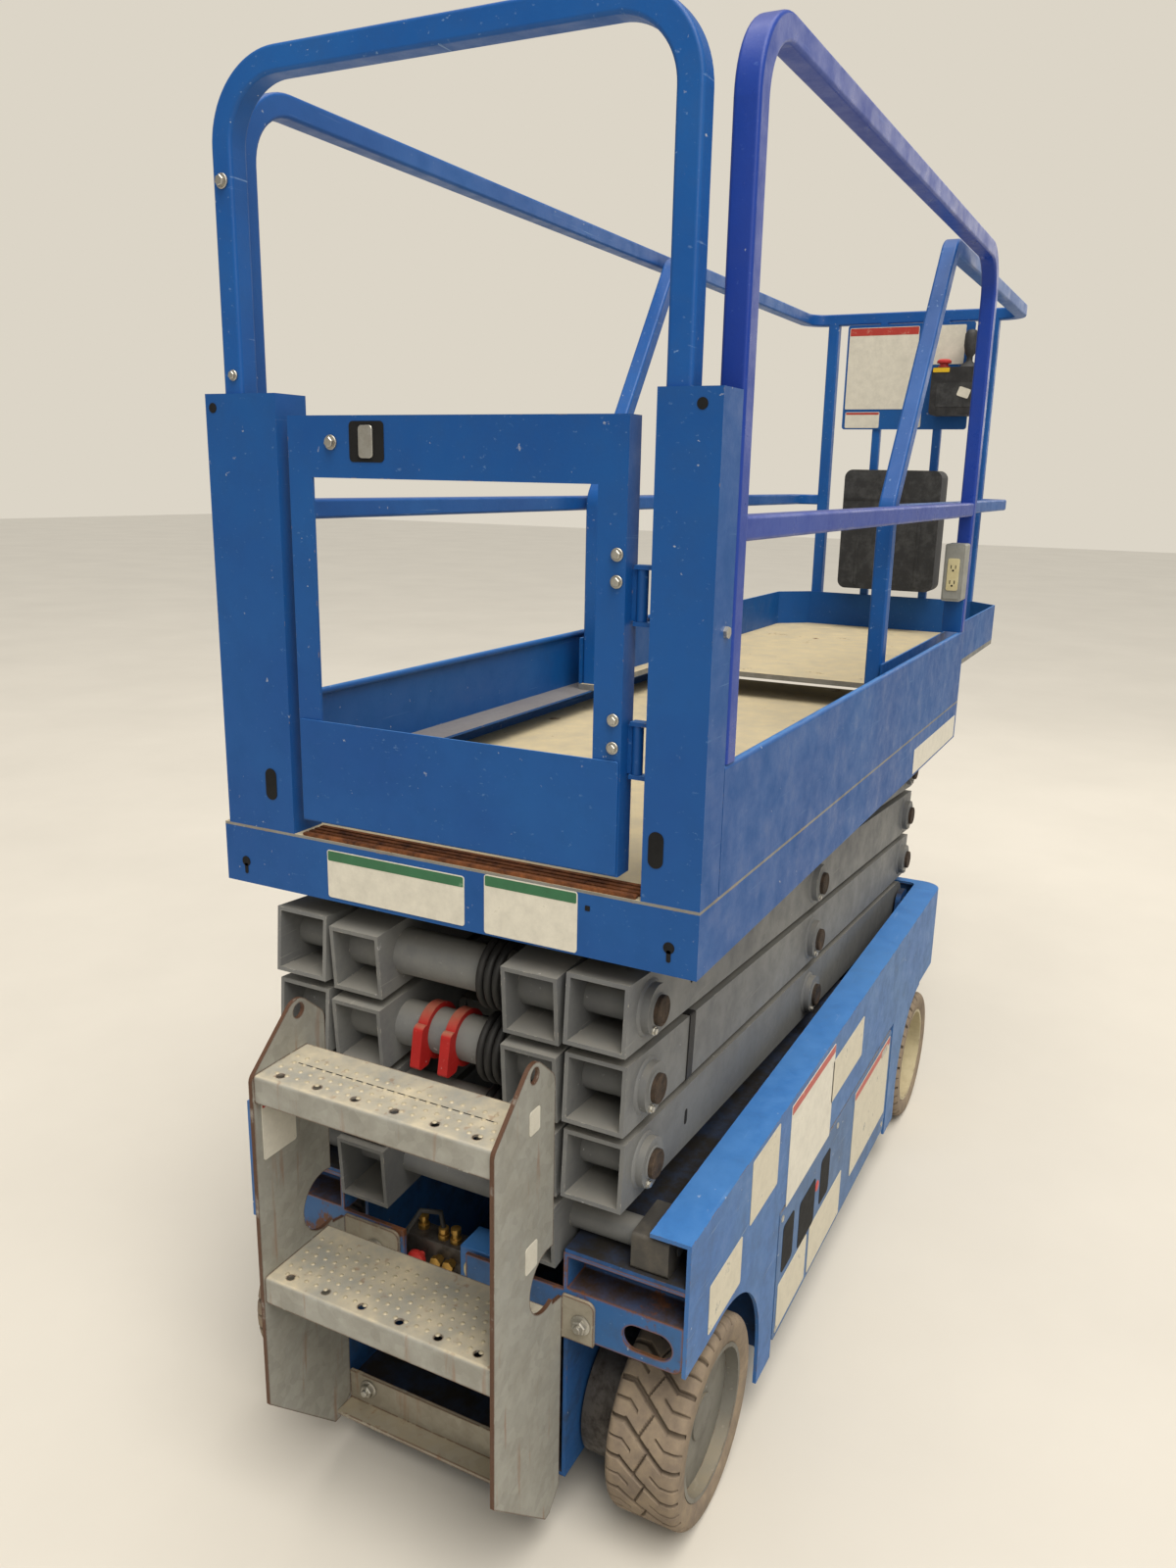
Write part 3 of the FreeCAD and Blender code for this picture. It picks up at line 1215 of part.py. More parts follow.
def build_slide_rails():
    """Roll-out guardrails: leaning rear legs, top rail round the front, posts and mid rails."""
    y = slide_rail_y
    foot = slide_floor + d.face_gap
    front = slide_front
    half, bend, fold = d.rail_radius, d.slide_bend, d.rail_radius * 2.4
    top, mid = d.slide_rail_height, d.mid_rail_height
    joint = front - bend - 20
    flat, upright = (0, 0, 1), (0, 1, 0)
    shapes = [square_bar([(joint, y, top), (front, y, top), (front, -y, top), (joint, -y, top)],
                         bend, half, flat)]
    for side in SIDES:
        shapes.append(square_bar([
            (d.slide_leg_station, y * side, foot), (d.slide_leg_station, y * side, d.slide_knee_height),
            (d.slide_slope_station, y * side, top), (joint + 1, y * side, top),
        ], fold, half, upright))
        shapes.append(square_bar([
            (d.slide_leg_station, y * side, mid), (front, y * side, mid),
            (front, d.slide_post_y * side, mid),
        ], bend, d.mid_rail_radius, flat))
        shapes.append(square_bar([
            (front, d.slide_post_y * side, d.ledge_top), (front, d.slide_post_y * side, top),
        ], bend, half, upright))
    for place in (d.front_post_left, d.front_post_right):
        shapes.append(square_bar([(inner_post_x, place, d.ledge_top), (inner_post_x, place, top)],
                                 bend, d.front_post_half, upright))
    return add_shape("slide_rails", shapes)


def build_fittings():
    """Placard panel, document case and control box on the front rails, and the outlet box."""
    back = inner_post_x - d.front_post_half - d.face_gap
    placard = new_body("placard_panel")
    pad(placard, "YZ_Plane", back - d.toe_sheet, back,
        rectangle(d.placard_right, d.placard_left, d.placard_foot, d.placard_top, as_size(8)))
    case = new_body("document_case")
    pad(case, "YZ_Plane", back - d.case_depth, back,
        rectangle(d.case_left - d.case_width, d.case_left, d.case_foot, d.case_top, as_size(24)))
    control = new_body("control_box")
    back = back - d.toe_sheet - d.face_gap
    pad(control, "YZ_Plane", back - d.control_depth, back,
        rectangle(d.control_left - d.control_width, d.control_left,
                  d.control_foot, d.control_foot + d.control_height, as_size(12)))
    outlet = new_body("outlet_box")
    back = d.rail_end - d.rail_radius - d.face_gap
    pad(outlet, "YZ_Plane", back - d.outlet_depth, back,
        rectangle(-d.skirt_half, d.outlet_width - d.skirt_half,
                  d.outlet_foot, d.outlet_foot + d.outlet_height, as_size(5)))
    return placard, case, control, outlet


def build_cylinder():
    """Lift cylinder: barrel on the chassis pin, rod towards the second inner arm."""
    lug_x = arm_middle + arm_run / d.arm_length * d.lug_reach - d.level_pitch / d.arm_length * d.lug_rise
    lug_z = (d.first_pin_height + d.level_pitch * 1.5 + d.level_pitch / d.arm_length * d.lug_reach
             + arm_run / d.arm_length * d.lug_rise)
    dx = float(lug_x - d.barrel_station)
    dz = float(lug_z - d.barrel_height)
    length = math.hypot(dx, dz)
    tilt = math.degrees(math.atan2(dz, -dx))
    names = []
    for name in ("cylinder_barrel", "cylinder_rod"):
        body = new_body(name, d.barrel_station, 0, d.barrel_height)
        body.Placement.Rotation = FreeCAD.Rotation(FreeCAD.Vector(0, 1, 0), tilt)
        names.append(body)
    barrel, rod_body = names
    mouth = -(length - 120)
    neck = -(d.eye_radius + 22)
    pad(barrel, "YZ_Plane", mouth, neck, circles=[(0, 0, d.barrel_radius)])
    pad(barrel, "XZ_Plane", -d.eye_half, d.eye_half, rectangle(neck - 1, 0, -24, 24))
    pad(barrel, "XZ_Plane", -d.eye_half, d.eye_half, circles=[(0, 0, d.eye_radius)])
    pocket(barrel, "XZ_Plane", -d.barrel_radius, d.barrel_radius,
           circles=[(0, 0, d.pin_radius + d.turn_gap)])
    pocket(barrel, "YZ_Plane", mouth - 1, -100, circles=[(0, 0, d.rod_radius + d.turn_gap)])
    pad(rod_body, "YZ_Plane", -length, -110, circles=[(0, 0, d.rod_radius)])
    pad(rod_body, "XZ_Plane", -d.eye_half, d.eye_half, circles=[(as_size(-length), 0, d.eye_radius)])
    pin_half = d.eye_half + d.lug_gap - d.face_gap
    pad(rod_body, "XZ_Plane", -pin_half, pin_half, circles=[(as_size(-length), 0, d.pin_radius)])
    return barrel, rod_body


def main():
    """Build every sub-part, test it and write it to its own file."""
    build_chassis_frame()
    build_chassis_skin()
    build_chassis_bulkheads()
    build_rear_channel()
    build_ladder()
    build_ladder_lower()
    build_scissor_mounts()
    build_front_axle()
    build_rear_axles()
    for name, station, side, dish in (
        ("rear_left", d.rear_axle_station, LEFT, d.rear_dish),
        ("rear_right", d.rear_axle_station, RIGHT, d.rear_dish),
        ("front_left", d.front_axle_station, LEFT, d.front_dish),
        ("front_right", d.front_axle_station, RIGHT, d.front_dish),
    ):
        build_wheel(name, station, side, dish)
    build_knuckle("knuckle_left", LEFT)
    build_knuckle("knuckle_right", RIGHT)
    build_module("module_left", LEFT)
    build_module("module_right", RIGHT)
    build_module_hinges()
    build_guard("guard_left", LEFT)
    build_guard("guard_right", RIGHT)
    build_guard_pins()
    for level in (1, 2, 3, 4):
        for kind in ("outer", "inner"):
            build_arm(level, kind)
    build_rod_lugs()
    build_safety_hooks()
    build_lower_sliders()
    build_upper_sliders()
    build_cylinder()
    build_platform_frame()
    build_platform_deck()
    build_side_walls()
    build_rear_posts()
    build_guardrail("guardrail_left", LEFT)
    build_guardrail("guardrail_right", RIGHT)
    build_rear_hoop()
    build_gate()
    build_gate_hinges()
    build_slide_deck()
    build_slide_toe_boards()
    build_slide_rails()
    build_fittings()
    doc.recompute()
    for thing in doc.Objects:
        if "Invalid" in thing.State or "Error" in thing.State:
            raise ValueError("%s is %s" % (thing.Name, thing.State))
    os.makedirs("parts", exist_ok=True)
    for node in nodes:
        if node.Shape.isNull() or not node.Shape.isValid():
            raise ValueError("%s has no valid shape" % node.Label)
        node.Shape.exportStep("parts/%s.step" % node.Label)
        print(node.Label, len(node.Shape.Solids), round(node.Shape.Volume / 1e6, 3))


main()
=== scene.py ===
"""Slab scissor lift, stowed with its roll-out deck out: finishes, small fittings, studio and camera.

Metres. X runs from the entry gate to the steered wheels, Y to the left and Z up. Places are
given as stations in millimetres from the rear face of the platform skirt.
"""

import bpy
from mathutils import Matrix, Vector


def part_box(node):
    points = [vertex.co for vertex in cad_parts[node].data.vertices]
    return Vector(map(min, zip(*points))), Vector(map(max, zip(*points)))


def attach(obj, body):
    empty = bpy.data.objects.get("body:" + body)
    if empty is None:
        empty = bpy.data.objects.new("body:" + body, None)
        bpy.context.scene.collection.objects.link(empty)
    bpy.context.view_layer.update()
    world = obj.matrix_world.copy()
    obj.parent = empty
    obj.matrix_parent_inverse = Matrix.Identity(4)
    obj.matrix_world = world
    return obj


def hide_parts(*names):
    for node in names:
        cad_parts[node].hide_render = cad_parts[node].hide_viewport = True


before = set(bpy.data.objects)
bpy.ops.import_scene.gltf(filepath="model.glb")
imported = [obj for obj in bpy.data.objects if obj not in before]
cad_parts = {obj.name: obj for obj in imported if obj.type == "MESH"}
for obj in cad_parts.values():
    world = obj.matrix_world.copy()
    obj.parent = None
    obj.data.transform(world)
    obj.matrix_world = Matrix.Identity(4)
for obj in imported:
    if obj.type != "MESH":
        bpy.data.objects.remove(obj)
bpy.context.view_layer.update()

import logging
import math
from dataclasses import dataclass, field
from enum import Enum
from typing import Any, Iterable, Sequence

import bmesh
import bpy
import numpy as np
from mathutils import Matrix, Vector

log = logging.getLogger("scissor_lift")

MIDDLE_STATION = 1164.5
UNIT_MM = 1000.0
Spot = tuple[float, float, float]
Profile = Sequence[tuple[float, float]]


class Way(Enum):
    """Directions that plates and bolts face."""

    REAR = (-1.0, 0.0, 0.0)
    LEFT = (0.0, 1.0, 0.0)
    RIGHT = (0.0, -1.0, 0.0)
    UP = (0.0, 0.0, 1.0)

    @property
    def vector(self) -> Vector:
        """The direction as a vector."""
        return Vector(self.value)


class Side(Enum):
    """The two sides of the machine; the value is the sign of Y."""

    LEFT = 1
    RIGHT = -1

    @property
    def way(self) -> Way:
        """The direction that this side faces."""
        return Way.LEFT if self is Side.LEFT else Way.RIGHT


def row(x: float, y: float, z: float) -> Vector:
    """Return a point in the row's frame, in metres.

    Args:
        x: Station in millimetres.
        y: Millimetres to the left of the middle.
        z: Millimetres above the floor.
    """
    return Vector(((x - MIDDLE_STATION) / 1000, y / 1000, z / 1000))


def linear(colour: str) -> tuple[float, float, float, float]:
    """Return an sRGB hex colour, six digits after a hash sign, as linear RGBA."""
    parts = [int(colour[i:i + 2], 16) / 255 for i in (1, 3, 5)]
    red, green, blue = (c / 12.92 if c <= 0.04045 else ((c + 0.055) / 1.055) ** 2.4 for c in parts)
    return red, green, blue, 1.0


def add_object(name: str, data: Any) -> bpy.types.Object:
    """Return a new object in the scene that holds this mesh, lamp or camera."""
    thing = bpy.data.objects.new(name, data)
    bpy.context.scene.collection.objects.link(thing)
    return thing


def put(tree: bpy.types.NodeTree, kind: str, links: dict[Any, Any] | None = None,
        out: int | str = 0, **settings: Any) -> Any:
    """Add a node with its settings and links.

    Args:
        tree: The node tree that gets the node.
        kind: Blender's name of the node's type.
        links: Input name or number to a socket, which is linked, or to a plain value.
        out: Output that is wanted.
        **settings: Properties of the node.

    Returns:
        The wanted output socket, or None where the node has none.
    """
    node = tree.nodes.new(kind)
    for name, value in settings.items():
        setattr(node, name, value)
    for key, value in (links or {}).items():
        if isinstance(value, bpy.types.NodeSocket):
            tree.links.new(value, node.inputs[key])
        else:
            node.inputs[key].default_value = value
    return node.outputs[out] if len(node.outputs) else None


# Finishes


class Graph:
    """A material's node tree, with the steps that the finishes are made of."""

    def __init__(self, tree: bpy.types.NodeTree) -> None:
        self.tree = tree
        self.where = put(tree, "ShaderNodeTexCoord", out="Object")

    def noise(self, size_mm: float, detail: float, roughness: float = 0.5, where: Any = None) -> Any:
        """Return clouds of this size, on the object's own coordinates unless others are given."""
        return put(self.tree, "ShaderNodeTexNoise",
                   {"Vector": self.where if where is None else where, "Scale": UNIT_MM / size_mm,
                    "Detail": detail, "Roughness": roughness})

    def cells(self, size_mm: float, out: str) -> Any:
        """Return an output of cells of this size."""
        return put(self.tree, "ShaderNodeTexVoronoi", {"Vector": self.where, "Scale": UNIT_MM / size_mm},
                   out)

    def stretched(self, sizes_mm: Spot, turn: Spot = (0.0, 0.0, 0.0)) -> Any:
        """Return coordinates on which clouds of UNIT_MM have these sizes along the axes."""
        return put(self.tree, "ShaderNodeMapping",
                   {"Vector": self.where, "Rotation": turn, "Scale": [UNIT_MM / size for size in sizes_mm]})

    def ramp(self, value: Any, start: float, end: float, low: float = 0.0, high: float = 1.0) -> Any:
        """Return a number that goes from low to high while the value goes from start to end."""
        return put(self.tree, "ShaderNodeMapRange", {"Value": value, 1: start, 2: end, 3: low, 4: high})

    def math(self, operation: str, *numbers: Any, clamp: bool = False) -> Any:
        """Return the result of an operation on numbers or sockets."""
        return put(self.tree, "ShaderNodeMath", dict(enumerate(numbers)), operation=operation,
                   use_clamp=clamp)

    def times(self, *numbers: Any, clamp: bool = False) -> Any:
        """Return the product of two numbers or sockets."""
        return self.math("MULTIPLY", *numbers, clamp=clamp)

    def mix(self, share: Any, under: Any, over: Any) -> Any:
        """Return one tone over another by a share; a tone is a socket or a hex colour."""
        tones = [linear(tone) if isinstance(tone, str) else tone for tone in (under, over)]
        return put(self.tree, "ShaderNodeMix", {0: share, 6: tones[0], 7: tones[1]}, out=2,
                   data_type="RGBA")

    def shade(self, colour: str, value: Any) -> Any:
        """Return a colour with its brightness scaled by a socket."""
        return put(self.tree, "ShaderNodeHueSaturation", {"Color": linear(colour), "Value": value})

    def part(self, vector: Any, axis: int) -> Any:
        """Return one part of a vector, 0 for X to 2 for Z."""
        return put(self.tree, "ShaderNodeSeparateXYZ", {0: vector}, out=axis)

    def normal(self) -> Any:
        """Return the direction that the surface faces."""
        return put(self.tree, "ShaderNodeNewGeometry", out="Normal")

    def bump(self, height: Any, strength: float, depth_mm: float, invert: bool = False) -> Any:
        """Return the normal of a surface with this relief."""
        return put(self.tree, "ShaderNodeBump",
                   {"Height": height, "Strength": strength, "Distance": depth_mm / 1000}, invert=invert)

    def worn_edges(self, width_mm: float, patch_mm: float, amount: float) -> Any:
        """Return a mask of edges that have lost their coat, broken up in patches.

        Args:
            width_mm: Width of the worn band.
            patch_mm: Size of the gaps in it.
            amount: Share of the edge that is bare, 0 to 1.

        Returns:
            Socket that is 1 on bare edges.
        """
        rounded_off = put(self.tree, "ShaderNodeBevel", {"Radius": width_mm / 1000}, samples=6)
        bend = put(self.tree, "ShaderNodeVectorMath", {0: rounded_off, 1: self.normal()}, out="Value",
                   operation="DOT_PRODUCT")
        reach = 0.36 * amount
        gap = self.ramp(self.noise(patch_mm, 5.0, 0.7), 0.68 - reach, 0.74 - reach)
        return self.times(self.ramp(bend, 0.985, 0.8), gap)


class Finish:
    """A surface as it leaves the works and as years of use change it."""

    name: str

    def surface(self, g: Graph) -> dict[str, Any]:
        """Return input names of the principled shader with sockets or values."""
        raise NotImplementedError

    def material(self) -> bpy.types.Material:
        """Return the finish's material, made on first use."""
        made = bpy.data.materials.get(self.name)
        if made is not None:
            return made
        made = bpy.data.materials.new(self.name)
        made.use_nodes = True
        tree = made.node_tree
        tree.nodes.clear()
        shader = put(tree, "ShaderNodeBsdfPrincipled", self.surface(Graph(tree)))
        put(tree, "ShaderNodeOutputMaterial", {"Surface": shader})
        return made


@dataclass(frozen=True)
class PaintedSteel(Finish):
    """Sheet steel with a baked powder coat: satin, faintly orange-peeled, chipped at its edges."""

    name: str
    coat: str
    faded: str
    bare: str = "#6B4A33"
    dust_and_painted_light: str = "#A8997C"
    dust_and_painted_light_on_top: float = 0.45
    dust_and_painted_light_at_least: float = 0.15
    grime: str = "#4A4A4C"
    grime_amount: float = 0.2
    edge_mm: float = 2.5
    edge_amount: float = 0.35
    scuff: str = "#9FB9D8"
    scuff_amount: float = 0.3
    chipped: str = "#C6C8C8"
    rust: str = "#4A2E20"
    rust_bloom: str = "#74482C"
    rust_amount: float = 0.0
    roughness: float = 0.42
    peel_mm: float = 1.6
    soil: str = "#857962"
    soil_below_mm: float = 0.0

    def surface(self, g: Graph) -> dict[str, Any]:
        """Return paint tones under scuffs, grime, dust and painted light on up-facing faces, rust patches
        and bare edges.
        """
        # Sun and wiping leave clouds some 30 cm wide
        tone = g.mix(g.ramp(g.noise(300, 4.0, 0.6), 0.35, 0.68), self.coat, self.faded)
        # Grime lies in blotches of a few centimetres
        blotch = g.noise(45, 7.0, 0.68)
        tone = g.mix(g.ramp(blotch, 0.46, 0.75, 0.0, self.grime_amount), tone, self.grime)
        # Scuffs run lengthwise, a few millimetres wide and decimetres long
        lengthwise = g.stretched((160, 9, 5), (0.12, 0.05, 0.02))
        streak = g.ramp(g.noise(UNIT_MM, 3.0, 0.55, lengthwise), 0.66, 0.72)
        broken = g.ramp(blotch, 0.4, 0.6, 0.0, self.scuff_amount)
        tone = g.mix(g.times(streak, broken), tone, self.scuff)
        # Knocks leave chips of a few millimetres, mostly where the grime is
        chip = g.times(g.ramp(g.noise(13, 4.0, 0.6), 0.705, 0.725, 0.0, 0.85), broken)
        tone = g.mix(g.times(chip, 2.2, clamp=True), tone, self.chipped)
        # Dust settles on what faces up; the chassis and platform coats use this tone as a painted
        # highlight, and the inner chassis coat uses it as painted shade
        level = g.ramp(g.part(g.normal(), 2), 0.55, 0.95)
        dust_and_painted_light_mask = g.times(level, g.ramp(blotch, 0.3, 0.62, self.dust_and_painted_light_at_least, self.dust_and_painted_light_on_top))
        tone = g.mix(dust_and_painted_light_mask, tone, self.dust_and_painted_light)
        # Dirt trodden in lies on ledges lower than the walls' tops
        low = g.math("LESS_THAN", g.part(g.where, 2), self.soil_below_mm / 1000)
        tone = g.mix(g.times(g.times(low, level), 0.8), tone, self.soil)
        # Rust comes through in patches and along bare edges
        reach = 0.3 * self.rust_amount
        rusty = g.ramp(g.noise(70, 8.0, 0.74), 0.72 - reach, 0.78 - reach, 0.0, float(reach > 0))
        grain = g.noise(4, 6.0, 0.7)
        tone = g.mix(rusty, tone, g.mix(grain, self.rust, self.rust_bloom))
        edge = g.worn_edges(self.edge_mm, 22, self.edge_amount)
        tone = g.mix(edge, tone, self.bare)
        rough = g.ramp(blotch, 0.3, 0.7, self.roughness - 0.08, self.roughness + 0.2)
        relief = g.times(g.math("MAXIMUM", rusty, edge), grain)
        relief = g.math("SUBTRACT", relief, g.noise(self.peel_mm * 3, 2.0))
        return {"Base Color": tone, "Roughness": g.math("MAXIMUM", rough, dust_and_painted_light_mask),
                "Specular IOR Level": 0.32, "Normal": g.bump(relief, 0.22, 0.6)}


@dataclass(frozen=True)
class GalvanisedSteel(Finish):
    """Zinc-dipped plate: dull grey, faint spangle, brown rust where the zinc has gone."""

    name: str
    zinc: str = "#A3A39C"
    dull: str = "#8A8A84"
    dirt: str = "#B3AA96"
    dirt_amount: float = 0.5
    rust: str = "#5A3320"
    rust_bloom: str = "#60402A"
    edge_mm: float = 5.0
    edge_amount: float = 0.95
    streak: str = "#8A5B3A"
    streak_amount: float = 0.5
    plates_from_mm: float = 1000.0

    def surface(self, g: Graph) -> dict[str, Any]:
        """Return dull zinc with dirt, hanging rust streaks and rusted edges.

        Plates that stand further than plates_from_mm from the middle also show rusted cut rims.
        """
        # Spangles are 10 to 20 mm across and barely differ in tone
        spangle = put(g.tree, "ShaderNodeSeparateColor", {0: g.cells(16, "Color")})
        cloud = g.noise(60, 7.0, 0.66)
        blend = g.ramp(g.math("MULTIPLY_ADD", spangle, 0.16, cloud), 0.4, 0.75)
        tone = g.mix(blend, self.zinc, self.dull)
        level = g.ramp(g.part(g.normal(), 2), 0.5, 0.95, 0.1)
        soil = g.ramp(cloud, 0.35, 0.7, 0.1, self.dirt_amount * 1.6)
        tone = g.mix(g.times(level, soil, clamp=True), tone, self.dirt)
        # Rain draws rust down from the edges in streaks some 10 mm wide
        streak = g.noise(UNIT_MM, 4.0, where=g.stretched((14, 14, 150)))
        tone = g.mix(g.ramp(streak, 0.62, 0.74, 0.0, self.streak_amount), tone, self.streak)
        # The rims of the two side plates are what stands far off and doesn't face sideways
        off = g.math("GREATER_THAN", g.math("ABSOLUTE", g.part(g.where, 1)), self.plates_from_mm / 1000)
        rim = g.math("LESS_THAN", g.math("ABSOLUTE", g.part(g.normal(), 1)), 0.6)
        rim = g.times(g.times(rim, off), g.ramp(cloud, 0.34, 0.42, 0.35))
        edge = g.math("MAXIMUM", g.worn_edges(self.edge_mm, 26, self.edge_amount), rim)
        grain = g.noise(5, 6.0, 0.7)
        tone = g.mix(edge, tone, g.mix(grain, self.rust, self.rust_bloom))
        return {"Base Color": tone, "Metallic": g.ramp(edge, 0.0, 1.0, 0.25, 0.0),
                "Roughness": g.ramp(cloud, 0.3, 0.7, 0.5, 0.78), "Normal": g.bump(grain, 0.25, 0.6)}


@dataclass(frozen=True)
class TyreRubber(Finish):
    """Non-marking solid rubber, moulded: dead matt, dusted warm grey, with painted shade in its grooves."""

    name: str = "NonMarkingTyreRubber"
    rubber: str = "#766A5E"
    dust_and_painted_light: str = "#92836F"
    groove_shade: str = "#564C42"

    def surface(self, g: Graph) -> dict[str, Any]:
        """Return rubber with dust clouds, nicks and painted shade in the grooves."""
        tone = g.mix(g.ramp(g.noise(40, 8.0, 0.7), 0.35, 0.68), self.rubber, self.dust_and_painted_light)
        # The deeper the cut, the darker the tread: painted shade in the grooves
        cut = put(g.tree, "ShaderNodeAttribute", attribute_name="groove_shade", out="Fac")
        tone = g.mix(g.times(cut, 0.8), tone, self.groove_shade)
        return {"Base Color": tone, "Roughness": 0.93, "Specular IOR Level": 0.25,
                "Normal": g.bump(g.noise(3, 5.0, 0.75), 0.35, 0.8)}


@dataclass(frozen=True)
class BareMetal(Finish):
    """Turned, rolled or plated metal: a soft shine with fine lines and dull stained spots."""

    name: str
    shine: str = "#B9B7AF"
    stain: str = "#6E6253"
    stain_amount: float = 0.4
    roughness: float = 0.34
    metallic: float = 0.9

    def surface(self, g: Graph) -> dict[str, Any]:
        """Return metal with stains that are also rougher."""
        spot = g.ramp(g.noise(18, 7.0, 0.7), 0.45, 0.7, 0.0, self.stain_amount)
        return {"Base Color": g.mix(spot, self.shine, self.stain), "Metallic": self.metallic,
                "Roughness": g.ramp(spot, 0.0, 1.0, self.roughness, self.roughness + 0.4),
                "Normal": g.bump(g.noise(1.5, 2.0), 0.12, 0.3)}


@dataclass(frozen=True)
class RustedSteel(Finish):
    """Steel that has lost its coat and rusted: brown, powdery, with orange blooms."""

    name: str = "RustedSteel"
    dark: str = "#43281B"
    bloom: str = "#8A5430"

    def surface(self, g: Graph) -> dict[str, Any]:
        """Return two browns in grains of a few millimetres over centimetre blooms."""
        bloom = g.ramp(g.noise(24, 9.0, 0.74), 0.36, 0.66)
        return {"Base Color": g.mix(bloom, self.dark, self.bloom), "Roughness": 0.9,
                "Specular IOR Level": 0.25, "Normal": g.bump(bloom, 0.5, 1.0)}


@dataclass(frozen=True)
class MouldedPlastic(Finish):
    """Injection-moulded polymer: fine spark-eroded grain, scuffed paler where it is handled."""

    name: str
    colour: str
    scuffed: str
    roughness: float = 0.55
    grain_mm: float = 1.2

    def surface(self, g: Graph) -> dict[str, Any]:
        """Return plastic with scuffs and moulded grain."""
        scuff = g.ramp(g.noise(30, 8.0, 0.72), 0.45, 0.72, 0.0, 0.8)
        return {"Base Color": g.mix(scuff, self.colour, self.scuffed),
                "Roughness": g.ramp(scuff, 0.0, 1.0, self.roughness, self.roughness + 0.25),
                "Normal": g.bump(g.cells(self.grain_mm, "Distance"), 0.15, 0.3)}


@dataclass(frozen=True)
class AgedVinyl(Finish):
    """Printed-film stock without its print: slightly glossy, yellowed, rubbed through in places."""

    name: str
    film: str
    rubbed: str
    wear: float = 0.35

    def surface(self, g: Graph) -> dict[str, Any]:
        """Return film that is cloudily yellowed and rubbed through in patches."""
        patch = g.noise(26, 8.0, 0.75)
        reach = 0.3 * self.wear
        gone = g.ramp(patch, 0.68 - reach, 0.76 - reach)
        tone = g.shade(self.film, g.ramp(patch, 0.3, 0.7, 0.82, 1.04))
        return {"Base Color": g.mix(gone, tone, self.rubbed),
                "Roughness": g.ramp(gone, 0.0, 1.0, 0.4, 0.7),
                "Normal": g.bump(gone, 0.2, 0.2, invert=True)}


@dataclass(frozen=True)
class StudioGround(Finish):
    """Sealed pale concrete of a studio floor."""

    name: str = "PaleStudioFloor"
    colour: str = "#CCC8BF"

    def surface(self, g: Graph) -> dict[str, Any]:
        """Return a nearly even pale tone."""
        cloud = g.ramp(g.noise(900, 5.0, 0.6), 0.3, 0.7, 0.96, 1.03)
        return {"Base Color": g.shade(self.colour, cloud), "Roughness": 0.8}


